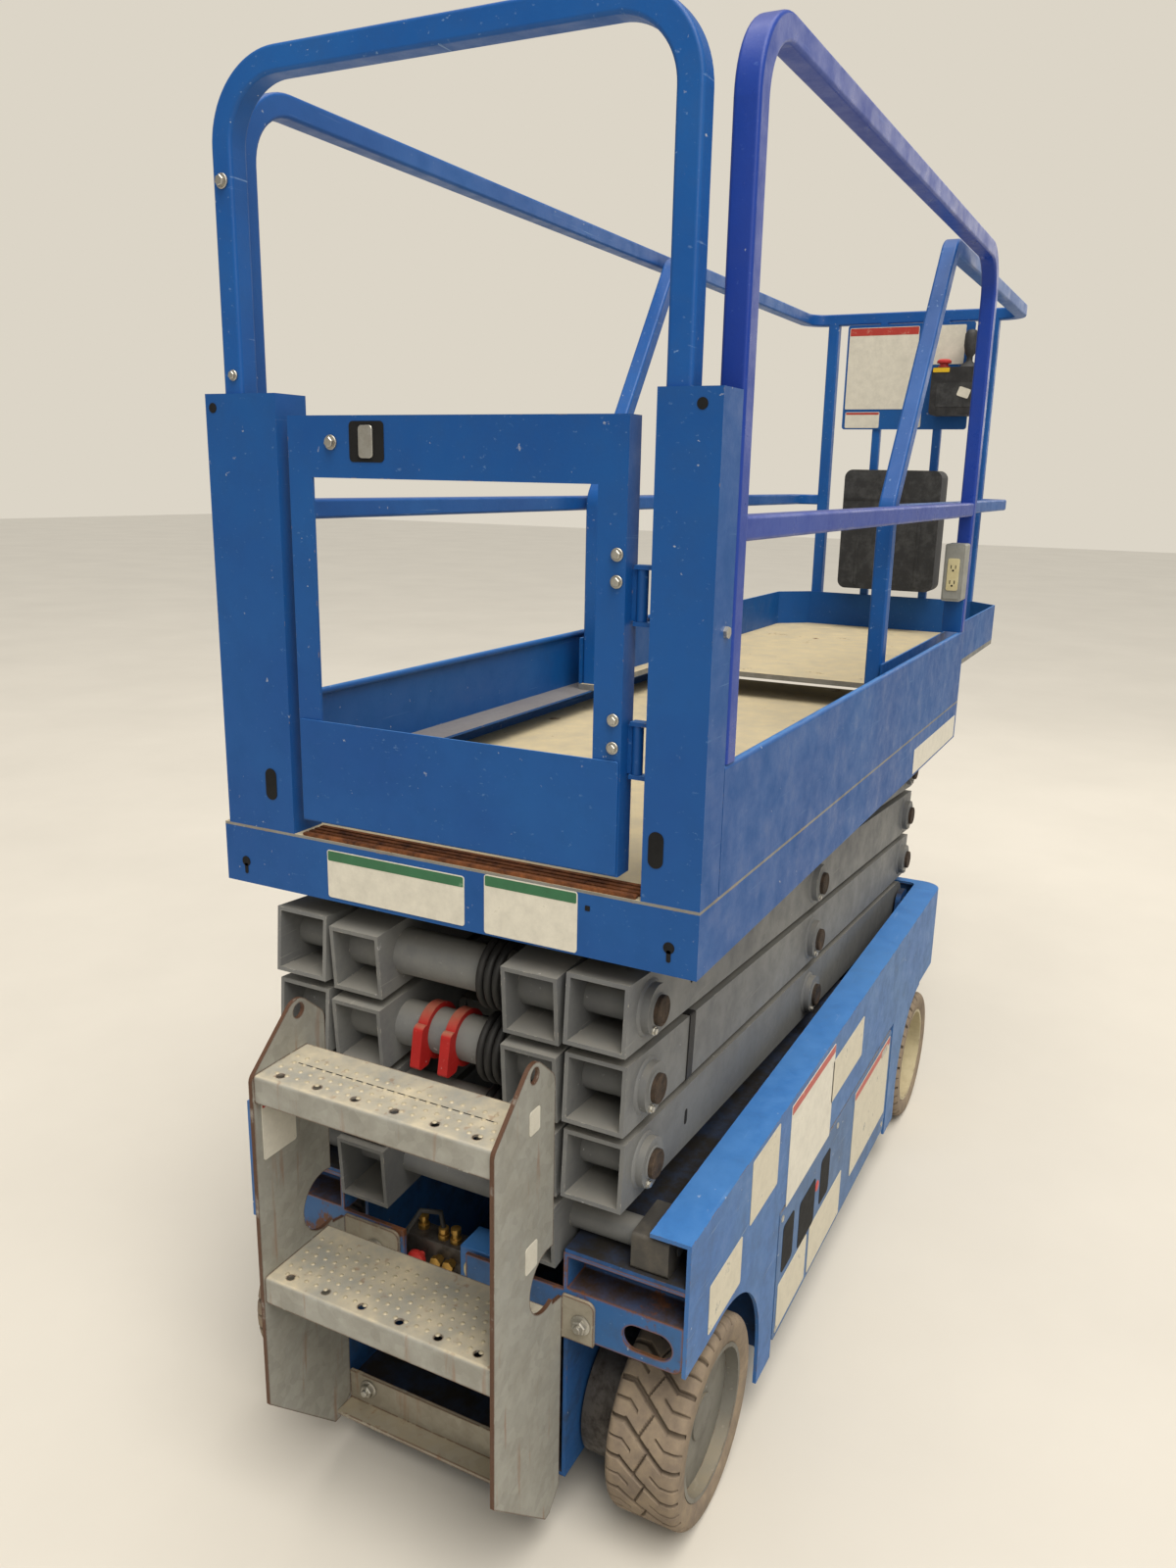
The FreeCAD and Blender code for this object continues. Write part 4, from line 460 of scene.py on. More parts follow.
class Coat(Enum):
    """The finishes of this machine."""

    # The pale blue on up-facing faces is a painted highlight, not dust; below 1.1 m these faces take
    # trodden-in soil
    PLATFORM = PaintedSteel(
        "PlatformBluePowderCoat", "#0D4A8E", "#135497", scuff="#7FA3CC", dust_and_painted_light="#5A92D0",
        dust_and_painted_light_on_top=0.6, grime="#1D4676", grime_amount=0.25, bare="#8E7C66", edge_amount=0.25,
        soil_below_mm=1100.0)
    RAILS = PaintedSteel(
        "RailBluePowderCoat", "#114E96", "#195AA2", scuff="#9DBDE0", dust_and_painted_light_on_top=0.2,
        grime="#23497A", grime_amount=0.25, edge_amount=0.2, bare="#8E7C66", scuff_amount=0.45,
        roughness=0.36)
    NEW_RAIL = PaintedSteel(
        "RoyalBlueReplacementCoat", "#1C3B94", "#24459E", scuff="#6E8FD2", dust_and_painted_light_on_top=0.12,
        grime="#1E3A86", grime_amount=0.25, edge_amount=0.12, bare="#8E7C66", scuff_amount=0.25,
        roughness=0.3)
    # The bright blue on up-facing faces is a painted highlight on the tops of the side rims, not dust
    CHASSIS = PaintedSteel(
        "ChassisBluePowderCoat", "#3567A6", "#4671A4", scuff="#8FA2BA", scuff_amount=0.6,
        grime="#5A6472", grime_amount=0.55, dust_and_painted_light="#4388D2", dust_and_painted_light_on_top=0.6, bare="#6A4C38",
        edge_amount=0.4, roughness=0.46)
    # A darker copy of the chassis coat, near-black on its up-facing faces: painted shade inside the
    # chassis, with grime in blotches
    INNER = PaintedSteel(
        "InnerChassisCoatWithPaintedShade", "#1F4C84", "#2A5688", grime="#2C3238", grime_amount=0.75,
        dust_and_painted_light="#2B2825", dust_and_painted_light_on_top=1.0, dust_and_painted_light_at_least=0.7, bare="#5E4430", edge_amount=0.4,
        rust_amount=0.12, roughness=0.55)
    DOOR = PaintedSteel(
        "ModuleDoorBluePowderCoat", "#3F6799", "#506D94", scuff="#93A2B4", scuff_amount=0.7,
        grime="#616973", grime_amount=0.6, roughness=0.5)
    RUSTY_CHANNEL = PaintedSteel(
        "RustedBlueChannel", "#2B5C94", "#3A6390", rust_amount=0.55, edge_amount=0.95, edge_mm=7,
        dust_and_painted_light="#3F2E20", dust_and_painted_light_on_top=1.0, dust_and_painted_light_at_least=0.6, bare="#74492B", grime="#3C4652",
        grime_amount=0.6)
    ARMS = PaintedSteel(
        "ChalkyGreyEnamel", "#686A6B", "#7A7B79", scuff="#A3A29A", scuff_amount=0.35,
        grime="#5B5D64", grime_amount=0.5, bare="#A9A69C", dust_and_painted_light="#9A9588", dust_and_painted_light_on_top=0.4,
        edge_amount=0.3, roughness=0.5)
    CROSS = PaintedSteel(
        "OiledGreyEnamel", "#525353", "#5E5F5C", grime="#3B3B3C", grime_amount=0.6,
        bare="#4B382C", dust_and_painted_light="#8D8676", edge_amount=0.4)
    LADDER = GalvanisedSteel(
        "GalvanisedLadderPlate", plates_from_mm=186.8, dirt="#D8CCB0", dirt_amount=0.6,
        rust="#3E271A")
    FLANGE = GalvanisedSteel(
        "GalvanisedLadderFlange", zinc="#A09A8B", dull="#8A8476", dirt="#B9AC90",
        edge_amount=0.8, rust="#5E3A24")
    # A lighter copy of the galvanised ladder finish: painted light from the ceiling on the step studs
    STEP = GalvanisedSteel(
        "GalvanisedStepStudWithPaintedLight", zinc="#BDB49C", dull="#A79E88", dirt="#C6BA9C", dirt_amount=0.4,
        edge_amount=0.35, streak_amount=0.15)
    DECK = PaintedSteel(
        "DustyDeckPlate", "#8A8880", "#7A7C7C", dust_and_painted_light="#C6B896", dust_and_painted_light_on_top=0.95,
        dust_and_painted_light_at_least=0.62, grime="#5C5548", grime_amount=0.5, bare="#8B6A44", rust_amount=0.3,
        roughness=0.6)
    TYRE = TyreRubber()
    REAR_WHEEL = PaintedSteel(
        "GreyWheelEnamel", "#6A6963", "#7A776D", scuff="#B7B2A5", grime="#5A564E",
        grime_amount=0.6, bare="#5E4632", dust_and_painted_light_on_top=0.4, edge_amount=0.5, roughness=0.55)
    # The cream is set a little darker as painted shade from the wheel's dish
    FRONT_WHEEL = PaintedSteel(
        "CreamWheelEnamelWithPaintedShade", "#A89E7F", "#BBB192", scuff="#DED8C4", grime="#7C725C",
        grime_amount=0.5, bare="#5E4632", dust_and_painted_light_on_top=0.4, edge_amount=0.45, roughness=0.5)
    PIN = RustedSteel("StainedPinSteel", "#2A2623", "#54463A")
    STEEL = BareMetal("WornForgedSteel", shine="#5A5652", stain="#2E2722", stain_amount=0.85,
                      roughness=0.45, metallic=0.7)
    ZINC = BareMetal("ZincPlatedBolt")
    CHROME = BareMetal("HardChromedRod", shine="#D9DADB", stain="#A9A49A", stain_amount=0.2,
                       roughness=0.14, metallic=1.0)
    BRASS = BareMetal("CastBrass", shine="#B08C4A", stain="#6A5128", roughness=0.4)
    RUST = RustedSteel()
    BLACK = MouldedPlastic("BlackNylon", "#1B1B1D", "#3A3A3B")
    CASE = MouldedPlastic("BlackPolyethyleneCase", "#232426", "#4A4B4C", roughness=0.6, grain_mm=2.5)
    HOSE = MouldedPlastic("BlackHoseRubber", "#151515", "#2E2C2A", roughness=0.6, grain_mm=2.0)
    WEAR_BLOCK = MouldedPlastic("OiledNylonBlock", "#3C3A37", "#5A554C", roughness=0.5)
    RED = PaintedSteel("RedSafetyEnamel", "#A01A1A", "#AE2622", grime="#5A1512", scuff="#D98A80",
                       bare="#5E3A2C")
    RED_PLASTIC = MouldedPlastic("RedPhenolicKnob", "#B4231F", "#C9564C", roughness=0.35)
    GREY_PLASTIC = MouldedPlastic("GreyPvcBox", "#8F908A", "#7C7D77", roughness=0.45)
    IVORY = MouldedPlastic("IvoryUreaOutlet", "#CFC59A", "#B7AA7E", roughness=0.4)
    YELLOW = MouldedPlastic("YellowPvcCover", "#D9B21C", "#B8962A", roughness=0.4)
    WHITE_LABEL = AgedVinyl("WhiteVinylLabel", "#DAD6C8", "#A8A292", wear=0.15)
    CREAM_LABEL = AgedVinyl("WornCreamLabel", "#CEC7B2", "#9A9A94", wear=0.28)
    RED_LABEL = AgedVinyl("RedVinylBand", "#B23A30", "#B99A86", wear=0.3)
    GREEN_LABEL = AgedVinyl("GreenVinylBand", "#2C6A45", "#7E9A82", wear=0.1)
    # Near-black sheets laid in holes, slots and recesses: painted shade where light doesn't reach into the
    # openings; the step seam's dark line uses it as well
    VOID = MouldedPlastic("PaintedOpeningShadeAndSeam", "#070708", "#0E0E0F", roughness=0.9)

    def dress(self, thing: bpy.types.Object) -> None:
        """Give an object this finish alone."""
        thing.data.materials.clear()
        thing.data.materials.append(self.value.material())


# Making meshes


@dataclass
class Stock:
    """Metal, plastic or film being worked into one piece of the scene."""

    mesh: bmesh.types.BMesh = field(default_factory=bmesh.new)

    def ring(self, centre: Vector, first: Vector, second: Vector, radius: float,
             segments: int) -> list[bmesh.types.BMVert]:
        """Return vertices round a centre; radius in millimetres."""
        angles = (2 * math.pi * i / segments for i in range(segments))
        return [self.mesh.verts.new(centre + (first * math.cos(angle) + second * math.sin(angle))
                                    * (radius / 1000)) for angle in angles]

    def prism(self, outline: Profile, origin: Vector, along: Vector, up: Vector,
              depth: float) -> "Stock":
        """Raise a flat outline into a plate.

        Args:
            outline: Corners in millimetres along the two directions, anticlockwise.
            origin: Place of the outline's zero, in metres.
            along: Direction of the first number.
            up: Direction of the second number.
            depth: Thickness in millimetres towards along x up.
        """
        normal = along.cross(up).normalized()
        low = [origin + along * (u / 1000) + up * (v / 1000) for u, v in outline]
        high = [p + normal * (depth / 1000) for p in low]
        below = [self.mesh.verts.new(p) for p in low]
        above = [self.mesh.verts.new(p) for p in high]
        self.mesh.faces.new(above)
        self.mesh.faces.new(list(reversed(below)))
        count = len(below)
        for i in range(count):
            j = (i + 1) % count
            self.mesh.faces.new((below[i], below[j], above[j], above[i]))
        return self

    def plate(self, middle: Vector, way: Way, width: float, height: float, radius: float,
              depth: float, steps: int = 5) -> "Stock":
        """Lay a plate with rounded corners on a face that looks this way; see rounded and prism."""
        return self.prism(rounded(width, height, radius, steps), middle, *facing(way), depth)

    def box(self, low: Spot, high: Spot) -> "Stock":
        """Make a box between two corners, each a station, a Y and a height in millimetres."""
        wide, deep, tall = (b - a for a, b in zip(low, high))
        return self.prism([(0, 0), (wide, 0), (wide, deep), (0, deep)], row(*low),
                          Vector((1, 0, 0)), Way.LEFT.vector, tall)

    def lathe(self, profile: Profile, origin: Vector, axis: Vector, segments: int = 32) -> "Stock":
        """Turn a profile about an axis.

        Args:
            profile: Radius and height pairs in millimetres; a zero radius closes an end.
            origin: Foot of the axis, in metres.
            axis: Direction of the height.
            segments: Sides round the axis.
        """
        axis = axis.normalized()
        first = axis.orthogonal().normalized()
        second = axis.cross(first)
        rings = []
        for radius, height in profile:
            centre = origin + axis * (height / 1000)
            rings.append(self.ring(centre, first, second, radius, segments) if radius > 0
                         else [self.mesh.verts.new(centre)])
        for one, two in zip(rings, rings[1:]):
            for i in range(segments):
                j = (i + 1) % segments
                if len(one) == 1:
                    self.mesh.faces.new((one[0], two[j], two[i]))
                elif len(two) == 1:
                    self.mesh.faces.new((one[i], one[j], two[0]))
                else:
                    self.mesh.faces.new((one[i], one[j], two[j], two[i]))
        return self

    def bolt(self, origin: Vector, axis: Vector, across: float = 19.0, stem: float = 0.0) -> "Stock":
        """Add a washer with a chamfered hexagon head, and a thread end where stem is given."""
        corner = across / math.sqrt(3)
        washer, height = 2.4, across * 0.4
        top = washer + height
        self.lathe([(0, 0), (across * 0.78, 0), (across * 0.78, 1.8), (across * 0.72, washer),
                    (0, washer)], origin, axis, 28)
        self.lathe([(0, washer), (corner, washer), (corner, washer + height * 0.8),
                    (corner * 0.84, top), (0, top)], origin, axis, 6)
        if stem:
            radius, end = across * 0.3, height + stem
            self.lathe([(radius, height), (radius, end), (radius * 0.8, end + 1), (0, end + 1)],
                       origin, axis, 16)
        return self

    def sweep(self, points: Sequence[Vector], radius: float, segments: int = 12) -> "Stock":
        """Run a round bar through points; radius in millimetres."""
        rings = []
        normal = (points[1] - points[0]).orthogonal().normalized()
        count = len(points)
        for i, point in enumerate(points):
            tangent = (points[min(i + 1, count - 1)] - points[max(i - 1, 0)]).normalized()
            normal = (normal - tangent * normal.dot(tangent)).normalized()
            rings.append(self.ring(point, normal, tangent.cross(normal), radius, segments))
        for one, two in zip(rings, rings[1:]):
            for k in range(segments):
                j = (k + 1) % segments
                self.mesh.faces.new((one[k], one[j], two[j], two[k]))
        self.mesh.faces.new(list(reversed(rings[0])))
        self.mesh.faces.new(rings[-1])
        return self

    def piece(self, name: str, coat: Coat, body: str, slot: str | None = None,
              bevel_mm: float = 0.0, smooth_deg: float = 35.0) -> None:
        """Finish the mesh as a named piece that rides a body.

        Args:
            name: Name of the piece.
            coat: Its finish.
            body: The body that it moves with.
            slot: The record's material slot; not used.
            bevel_mm: Rounding of its sharp edges.
            smooth_deg: Edges flatter than this look smooth.
        """
        bmesh.ops.recalc_face_normals(self.mesh, faces=self.mesh.faces[:])
        data = bpy.data.meshes.new(name)
        self.mesh.to_mesh(data)
        self.mesh.free()
        thing = add_object(name, data)
        data.shade_smooth()
        data.set_sharp_from_angle(angle=math.radians(smooth_deg))
        if bevel_mm:
            rounding = thing.modifiers.new("edge_rounding", "BEVEL")
            rounding.width = bevel_mm / 1000
            rounding.segments = 2
            rounding.limit_method = "ANGLE"
            rounding.angle_limit = math.radians(40)
        coat.dress(thing)
        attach(thing, body)


def rounded(width: float, height: float, radius: float, steps: int = 5) -> list[tuple[float, float]]:
    """Return a rectangle about its own middle with rounded corners, anticlockwise, in millimetres."""
    corners = []
    for cx, cy, start in ((1, -1, -90), (1, 1, 0), (-1, 1, 90), (-1, -1, 180)):
        for i in range(steps + 1):
            angle = math.radians(start + 90 * i / steps)
            corners.append((cx * (width / 2 - radius) + radius * math.cos(angle),
                            cy * (height / 2 - radius) + radius * math.sin(angle)))
    return corners


def facing(way: Way) -> tuple[Vector, Vector]:
    """Return the directions to the right and up on a face that looks this way."""
    up = Vector((0, 0, 1))
    return up.cross(way.vector).normalized(), up


def dress_nodes(coats: dict[Coat, Iterable[str]]) -> None:
    """Give the named nodes of the frame their finishes."""
    for coat, names in coats.items():
        for name in names:
            coat.dress(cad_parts[name])
            log.info("%s: %s", name, coat.value.name)


@dataclass
class Label:
    """A blank plate or film label, with a band of colour along its head where it has one."""

    name: str
    middle: Vector
    way: Way
    width: float
    height: float
    film: Coat = Coat.WHITE_LABEL
    band: Coat | None = None
    band_height: float = 14.0
    tilt_deg: float = 0.0
    thickness: float = 0.8

    def build(self, body: str) -> None:
        """Make the label and its band on the body that carries it."""
        turn = Matrix.Rotation(math.radians(self.tilt_deg), 3, self.way.vector)
        along, up = (turn @ direction for direction in facing(self.way))
        Stock().prism(rounded(self.width, self.height, 4), self.middle, along, up,
                      self.thickness).piece(self.name, self.film, body, "placard")
        if self.band:
            rise = up * ((self.height - self.band_height) / 2000)
            Stock().prism(rounded(self.width - 3, self.band_height - 3, 2), self.middle + rise, along,
                          up, self.thickness + 0.3).piece(self.name + "_band", self.band, body, "placard")
        log.info("label %s", self.name)


# Wheels


@dataclass
class Wheel:
    """A solid tyre with a moulded Z-groove tread on its dished wheel."""

    name: str
    side: Side
    station: float
    radius: float = 152.5
    width: float = 114.0
    inset: float = 1.0
    half_machine: float = 380.0
    bead_radius: float = 112.6
    shoulder: float = 14.0
    shoulder_steps: int = 6
    grooves: int = 18
    groove_shade_width: float = 6.5
    groove_shade_depth: float = 7.0
    groove_shade_flank: float = 1.8
    sipe_width: float = 3.0
    sipe_depth: float = 0.7
    sipe_from: float = 0.3
    link_width: float = 4.5
    link_depth: float = 0.8
    link_to: float = 0.2
    link_lean: float = 2.4
    rim_half: float = 0.55
    shift: float = 0.9
    steps_round: int = 648
    steps_across: int = 44

    def depth(self, turn: np.ndarray, across: np.ndarray) -> np.ndarray:
        """Return how deep the tread is cut, 0 on its face to 1 in a full groove.

        Args:
            turn: Place round the tyre in groove pitches.
            across: Place across the tread, -1 to 1.
        """
        pitch = 2 * math.pi * self.radius / self.grooves
        lean = np.clip(across, -self.rim_half, self.rim_half) / self.rim_half
        slope = self.shift / (2 * self.rim_half) * pitch / (self.width / 2)
        squeeze = np.where(np.abs(across) < self.rim_half, 1 / math.sqrt(1 + slope * slope), 1.0)

        def channel(offset: np.ndarray, width: float) -> np.ndarray:
            """Return the cut of one channel in each pitch."""
            away = np.abs((turn - offset + 0.5) % 1.0 - 0.5) * pitch * squeeze
            return np.clip((width / 2 + self.groove_shade_flank / 2 - away) / self.groove_shade_flank, 0, 1)

        main = channel(lean * self.shift / 2, self.groove_shade_width)
        sipe = channel(lean * self.shift / 2 + 0.5, self.sipe_width) * self.sipe_depth
        sipe = np.where(np.abs(across) > self.sipe_from, sipe, 0)
        link = channel(-across * self.link_lean + 0.5, self.link_width) * self.link_depth
        link = np.where(np.abs(across) < self.link_to, link, 0)
        return np.maximum(main, np.maximum(sipe, link))

    def section(self) -> tuple[np.ndarray, np.ndarray, slice]:
        """Return the section's places across, its radii and which of them are tread."""
        half, bead, round_off = self.width / 2, self.bead_radius, self.shoulder
        inner, foot = half - round_off, self.radius - round_off
        quarter = [math.pi / 2 * i / self.shoulder_steps for i in range(self.shoulder_steps + 1)]
        points = [(-half + 5, bead), (-half + 1, bead + 6)]
        points += [(-inner + round_off * math.cos(math.pi - turn),
                    foot + round_off * math.sin(math.pi - turn)) for turn in quarter]
        first = len(points) - 5
        points += [(-inner + 2 * inner * (i + 1) / self.steps_across, self.radius)
                   for i in range(self.steps_across - 1)]
        points += [(inner + round_off * math.cos(math.pi / 2 - turn),
                    foot + round_off * math.sin(math.pi / 2 - turn)) for turn in quarter]
        last = len(points) - 2
        points += [(half - 1, bead + 6), (half - 5, bead)]
        across, radius = np.array(points).T
        return across, radius, slice(first, last)

    def build(self) -> None:
        """Make the tyre in place of its plain ring, and the hub."""
        across, radius, tread = self.section()
        share = np.arange(self.steps_round)[:, None] / self.steps_round
        cut = np.zeros((self.steps_round, len(across)))
        cut[:, tread] = self.depth(share * self.grooves, across[None, tread] / (self.width / 2))
        angle = share * 2 * math.pi
        deep = radius - cut * self.groove_shade_depth
        centre = self.place(self.width / 2)
        y = np.broadcast_to(centre.y + across * self.side.value / 1000, deep.shape)
        points = np.stack([centre.x + deep * np.cos(angle) / 1000, y,
                           centre.z + deep * np.sin(angle) / 1000], axis=-1).reshape(-1, 3)
        count = len(across)
        faces = []
        for i in range(self.steps_round):
            here, there = i * count, (i + 1) % self.steps_round * count
            for k in range(count):
                m = (k + 1) % count
                quad = (here + k, here + m, there + m, there + k)
                faces.append(quad if self.side is Side.RIGHT else quad[::-1])
        data = bpy.data.meshes.new(self.name + "_treaded_tyre")
        data.from_pydata(points.tolist(), [], faces)
        # The cut depth also serves the tyre's finish as the mask of painted shade in the grooves
        layer = data.attributes.new("groove_shade", "FLOAT", "POINT")
        layer.data.foreach_set("value", cut.reshape(-1).astype(np.float32))
        tyre = add_object(data.name, data)
        data.shade_smooth()
        data.set_sharp_from_angle(angle=math.radians(40))
        Coat.TYRE.dress(tyre)
        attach(tyre, self.name + "_wheel")
        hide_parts(self.name + "_tyre")
        self.build_hub()
        log.info("wheel %s", self.name)

    def place(self, depth: float) -> Vector:
        """Return the point of the wheel's axis this far in from the tyre's outer face."""
        return row(self.station, (self.half_machine - self.inset - depth) * self.side.value, self.radius)

    def build_hub(self) -> None:
        """Make the rear wheel's plain hub cap."""
        Stock().lathe([(34, 0), (34, 3), (31, 5), (0, 6)], self.place(25), self.side.way.vector,
                      40).piece(self.name + "_hub_cap", Coat.REAR_WHEEL, self.name + "_wheel", "rim",
                                smooth_deg=40)


@dataclass
class SteeredWheel(Wheel):
    """A front wheel: its dish is deeper and its hub has a ring of nuts."""

    nuts: int = 5
    nut_ring: float = 0.055

    def build_hub(self) -> None:
        """Make the hub cap and its ring of nuts."""
        axis, centre, body = self.side.way.vector, self.place(58), self.name + "_wheel"
        Stock().lathe([(40, 0), (40, 4), (37, 7), (24, 8), (22, 14), (19, 16), (0, 16)], centre, axis,
                      40).piece(self.name + "_hub_cap", Coat.STEEL, body, "steel")
        nuts = Stock()
        for i in range(self.nuts):
            angle = math.radians(90 + 360 / self.nuts * i)
            nuts.bolt(centre + Vector((math.cos(angle), 0, math.sin(angle))) * self.nut_ring, axis, 19, 5)
        nuts.piece(self.name + "_wheel_bolts", Coat.STEEL, body, "steel")


# Ladder


@dataclass
class Ladder:
    """Entry ladder: dimpled steps, a valve block behind its bar, bolts and blank labels."""

    rear: float = -171.0
    half: float = 193.0
    sheet: float = 6.0
    steps: Profile = ((722.0, 108.0), (408.0, 138.0))
    step_margin: float = 26.0
    dimple_pitch: float = 17.0
    dimple_radius: float = 3.6
    bar_face: float = 14.9
    shelf: float = 317.0
    shelf_top: float = 323.0

    def build(self) -> None:
        """Make everything on the ladder."""
        dress_nodes({Coat.LADDER: ("ladder",), Coat.FLANGE: ("ladder_mounts",)})
        self.build_dimples()
        self.build_seam()
        bolts = Stock()
        for y, z in ((-224, 366), (128, 366), (150, 305), (-150, 100), (150, 100)):
            bolts.bolt(row(8.0, y, z), Way.REAR.vector, stem=6)
        bolts.piece("ladder_bolts", Coat.ZINC, "chassis", "steel")
        self.build_valve_block()
        self.build_valve_fittings()
        Label("ladder_warning_label", row(self.rear + 48, self.half - self.sheet - 0.2, 640), Way.RIGHT,
              66, 104, band=Coat.RED_LABEL, band_height=26).build("chassis")
        Label("ladder_upper_label", row(self.rear + 98, -self.half - 0.2, 716), Way.RIGHT, 26,
              34).build("chassis")
        Label("ladder_lower_label", row(self.rear + 92, -self.half - 0.2, 520), Way.RIGHT, 30,
              40).build("chassis")

    def build_dimples(self) -> None:
        """Press rows of small raised studs into both steps, every other row half a pitch on."""
        studs = Stock()
        inside = self.half - self.sheet - 12
        profile = [(self.dimple_radius, -0.2), (self.dimple_radius * 0.8, 0.9),
                   (self.dimple_radius * 0.4, 1.4), (0, 1.5)]
        for height, depth in self.steps:
            for line in range(int((depth - self.step_margin) // self.dimple_pitch)):
                x = self.rear + self.step_margin + line * self.dimple_pitch
                y = -inside + (self.dimple_pitch / 2 if line % 2 else 0)
                while y < inside:
                    studs.lathe(profile, row(x, y, height), Way.UP.vector, 10)
                    y += self.dimple_pitch
        # The studs take the lighter step finish, which holds painted light from the ceiling
        studs.piece("step_dimples", Coat.STEP, "chassis", "ladder_paint", smooth_deg=60)

    def build_seam(self) -> None:
        """Draw the seam that runs along the upper step, half way across."""
        height, depth = self.steps[0]
        x, reach = self.rear + 8 + depth / 2, self.half - 34
        Stock().box((x - 1, -reach, height - 0.2), (x + 1, reach, height + 0.2)).piece(
            "step_seam", Coat.VOID, "chassis", "black_plastic")

    def build_valve_block(self) -> None:
        """Stand the port block and the valve block on a shelf behind the cross bar."""
        top, back = self.shelf_top, 84
        for name, low, high, coat, slot, bevel in (
            ("valve_shelf", (self.bar_face, -78, self.shelf), (back, 112, top), Coat.CROSS,
             "chassis_paint", 0.8),
            ("port_block", (30, -72, top), (back, -10, 405), Coat.CHASSIS, "chassis_paint", 2.0),
            ("valve_manifold", (46, -6, top), (back, 104, 380), Coat.STEEL, "steel", 1.5),
        ):
            Stock().box(low, high).piece(name, coat, "chassis", slot, bevel)

    def build_valve_fittings(self) -> None:
        """Fit the blocks with a plugged port, a knob, brass fittings and a cable."""
        back, port = Way.REAR.vector, row(30, -40, 371)
        for name, profile, spot, segments, coat, slot, smooth in (
            ("port_ring", [(11, 0), (11, 5), (14, 6), (19, 6), (21, 4), (21, 0)], port, 28, Coat.IVORY,
             "grey_plastic", 40),
            ("port_plug", [(11, 0), (11, 2), (5, 3), (0, 3)], port, 20, Coat.STEEL, "steel", 40),
            ("valve_knob", [(5, 0), (5, 10), (14, 11), (16, 14), (15, 19), (9, 22), (0, 23)],
             row(46, 69, 352), 26, Coat.RED_PLASTIC, "red_paint", 50),
        ):
            Stock().lathe(profile, spot, back, segments).piece(name, coat, "chassis", slot,
                                                               smooth_deg=smooth)
        brass = Stock()
        for x, y, reach in ((62, 18, 16), (62, 40, 10), (70, 82, 14)):
            brass.lathe([(9, 0), (9, 7), (6, 8), (6, reach), (8, reach + 1), (8, reach + 8),
                         (4, reach + 9), (0, reach + 9)], row(x, y, 380), Way.UP.vector, 12)
        for y in (14, 36):
            brass.lathe([(7, 0), (7, 6), (10, 7), (10, 15), (5, 16), (0, 16)], row(46, y, 356), back, 6)
        brass.piece("valve_fittings", Coat.BRASS, "chassis", "steel", smooth_deg=30)
        run = ((62, 40, 396), (60, 44, 424), (40, 66, 432), (24, 84, 396), (22, 90, 352), (26, 92, 324))
        Stock().sweep([row(*spot) for spot in run], 4.2).piece("valve_cable", Coat.HOSE, "chassis",
                                                               "black_plastic", smooth_deg=60)


# Chassis


@dataclass
class Chassis:
    """Low chassis with its swing-out modules: worn labels, latches and bolts."""

    side_y: float = 380.0
    label_band: float = 18.0

    def build(self) -> None:
        """Dress the chassis and make what sits on its sides."""
        dress_nodes({
            Coat.CHASSIS: ("chassis_side_left", "chassis_side_right", "chassis_nose",
                           "kingpin_housings", "guard_left", "guard_right", "module_hinges",
                           "guard_pins"),
            Coat.INNER: ("chassis_frame", "chassis_bulkheads", "scissor_mounts"),
            Coat.RUSTY_CHANNEL: ("rear_channel",),
            Coat.DOOR: ("module_left_door", "module_right_door"),
            Coat.BLACK: ("module_left_tray", "module_right_tray"),
            Coat.STEEL: ("rear_axles", "knuckle_left", "knuckle_right"),
            Coat.WEAR_BLOCK: ("lower_sliders", "upper_sliders"),
        })
        for side in Side:
            self.build_side_labels(side)
            self.build_door(side)

    def build_side_labels(self, side: Side) -> None:
        """Stick the worn blank labels on one side."""
        y = (self.side_y + 0.1) * side.value
        name = side.name.lower()
        module = "module_" + name
        cream, red = Coat.CREAM_LABEL, Coat.RED_LABEL
        for label, x, z, width, height, film, band, body in (
            ("rear_note", 318, 478, 128, 108, cream, None, "chassis"),
            ("crush_note", 570, 436, 255, 186, Coat.WHITE_LABEL, red, "chassis"),
            ("long_note", 800, 452, 218, 84, cream, None, "chassis"),
            ("arch_note", 158, 388, 130, 80, cream, None, "chassis"),
            ("door_note", 1034, 240, 290, 186, cream, red, module),
            ("door_low_note", 510, 156, 160, 92, cream, None, module),
            ("door_mid_note", 712, 156, 210, 96, cream, None, module),
        ):
            Label(f"{name}_{label}", row(x, y, z), side.way, width, height, film, band,
                  self.label_band).build(body)

    def build_door(self, side: Side) -> None:
        """Make one module door's openings as plates of painted shade, and its knob, latch and bolts."""
        way, sign, name = side.way, side.value, side.name.lower()
        y = (self.side_y + 0.1) * sign
        body = "module_" + name
        # Near-black plates on the door face: painted shade where the door is cut through
        holes = Stock()
        for x, z, width in ((470, 262, 60), (580, 250, 96), (690, 262, 60)):
            holes.plate(row(x, y, z), way, width, 92, 10, 0.5)
        holes.piece(name + "_door_openings", Coat.VOID, body, "black_plastic")
        Stock().lathe([(7, 0), (7, 3), (11, 4), (12, 7), (9, 9), (0, 9.5)], row(640, y - 8 * sign, 270),
                      way.vector, 24).piece(name + "_lowering_knob", Coat.RED_PLASTIC, body)
        Stock().plate(row(1130, y, 318), way, 52, 16, 6, 1.6).piece(
            name + "_door_latch", Coat.ZINC, body, "steel", 0.4)
        bolts = Stock()
        for x, z in ((430, 330), (760, 330), (1170, 120), (430, 116)):
            bolts.bolt(row(x, y - 5.2 * sign, z), way.vector, 11)
        bolts.piece(name + "_door_bolts", Coat.ZINC, body, "steel")


# Scissor linkset


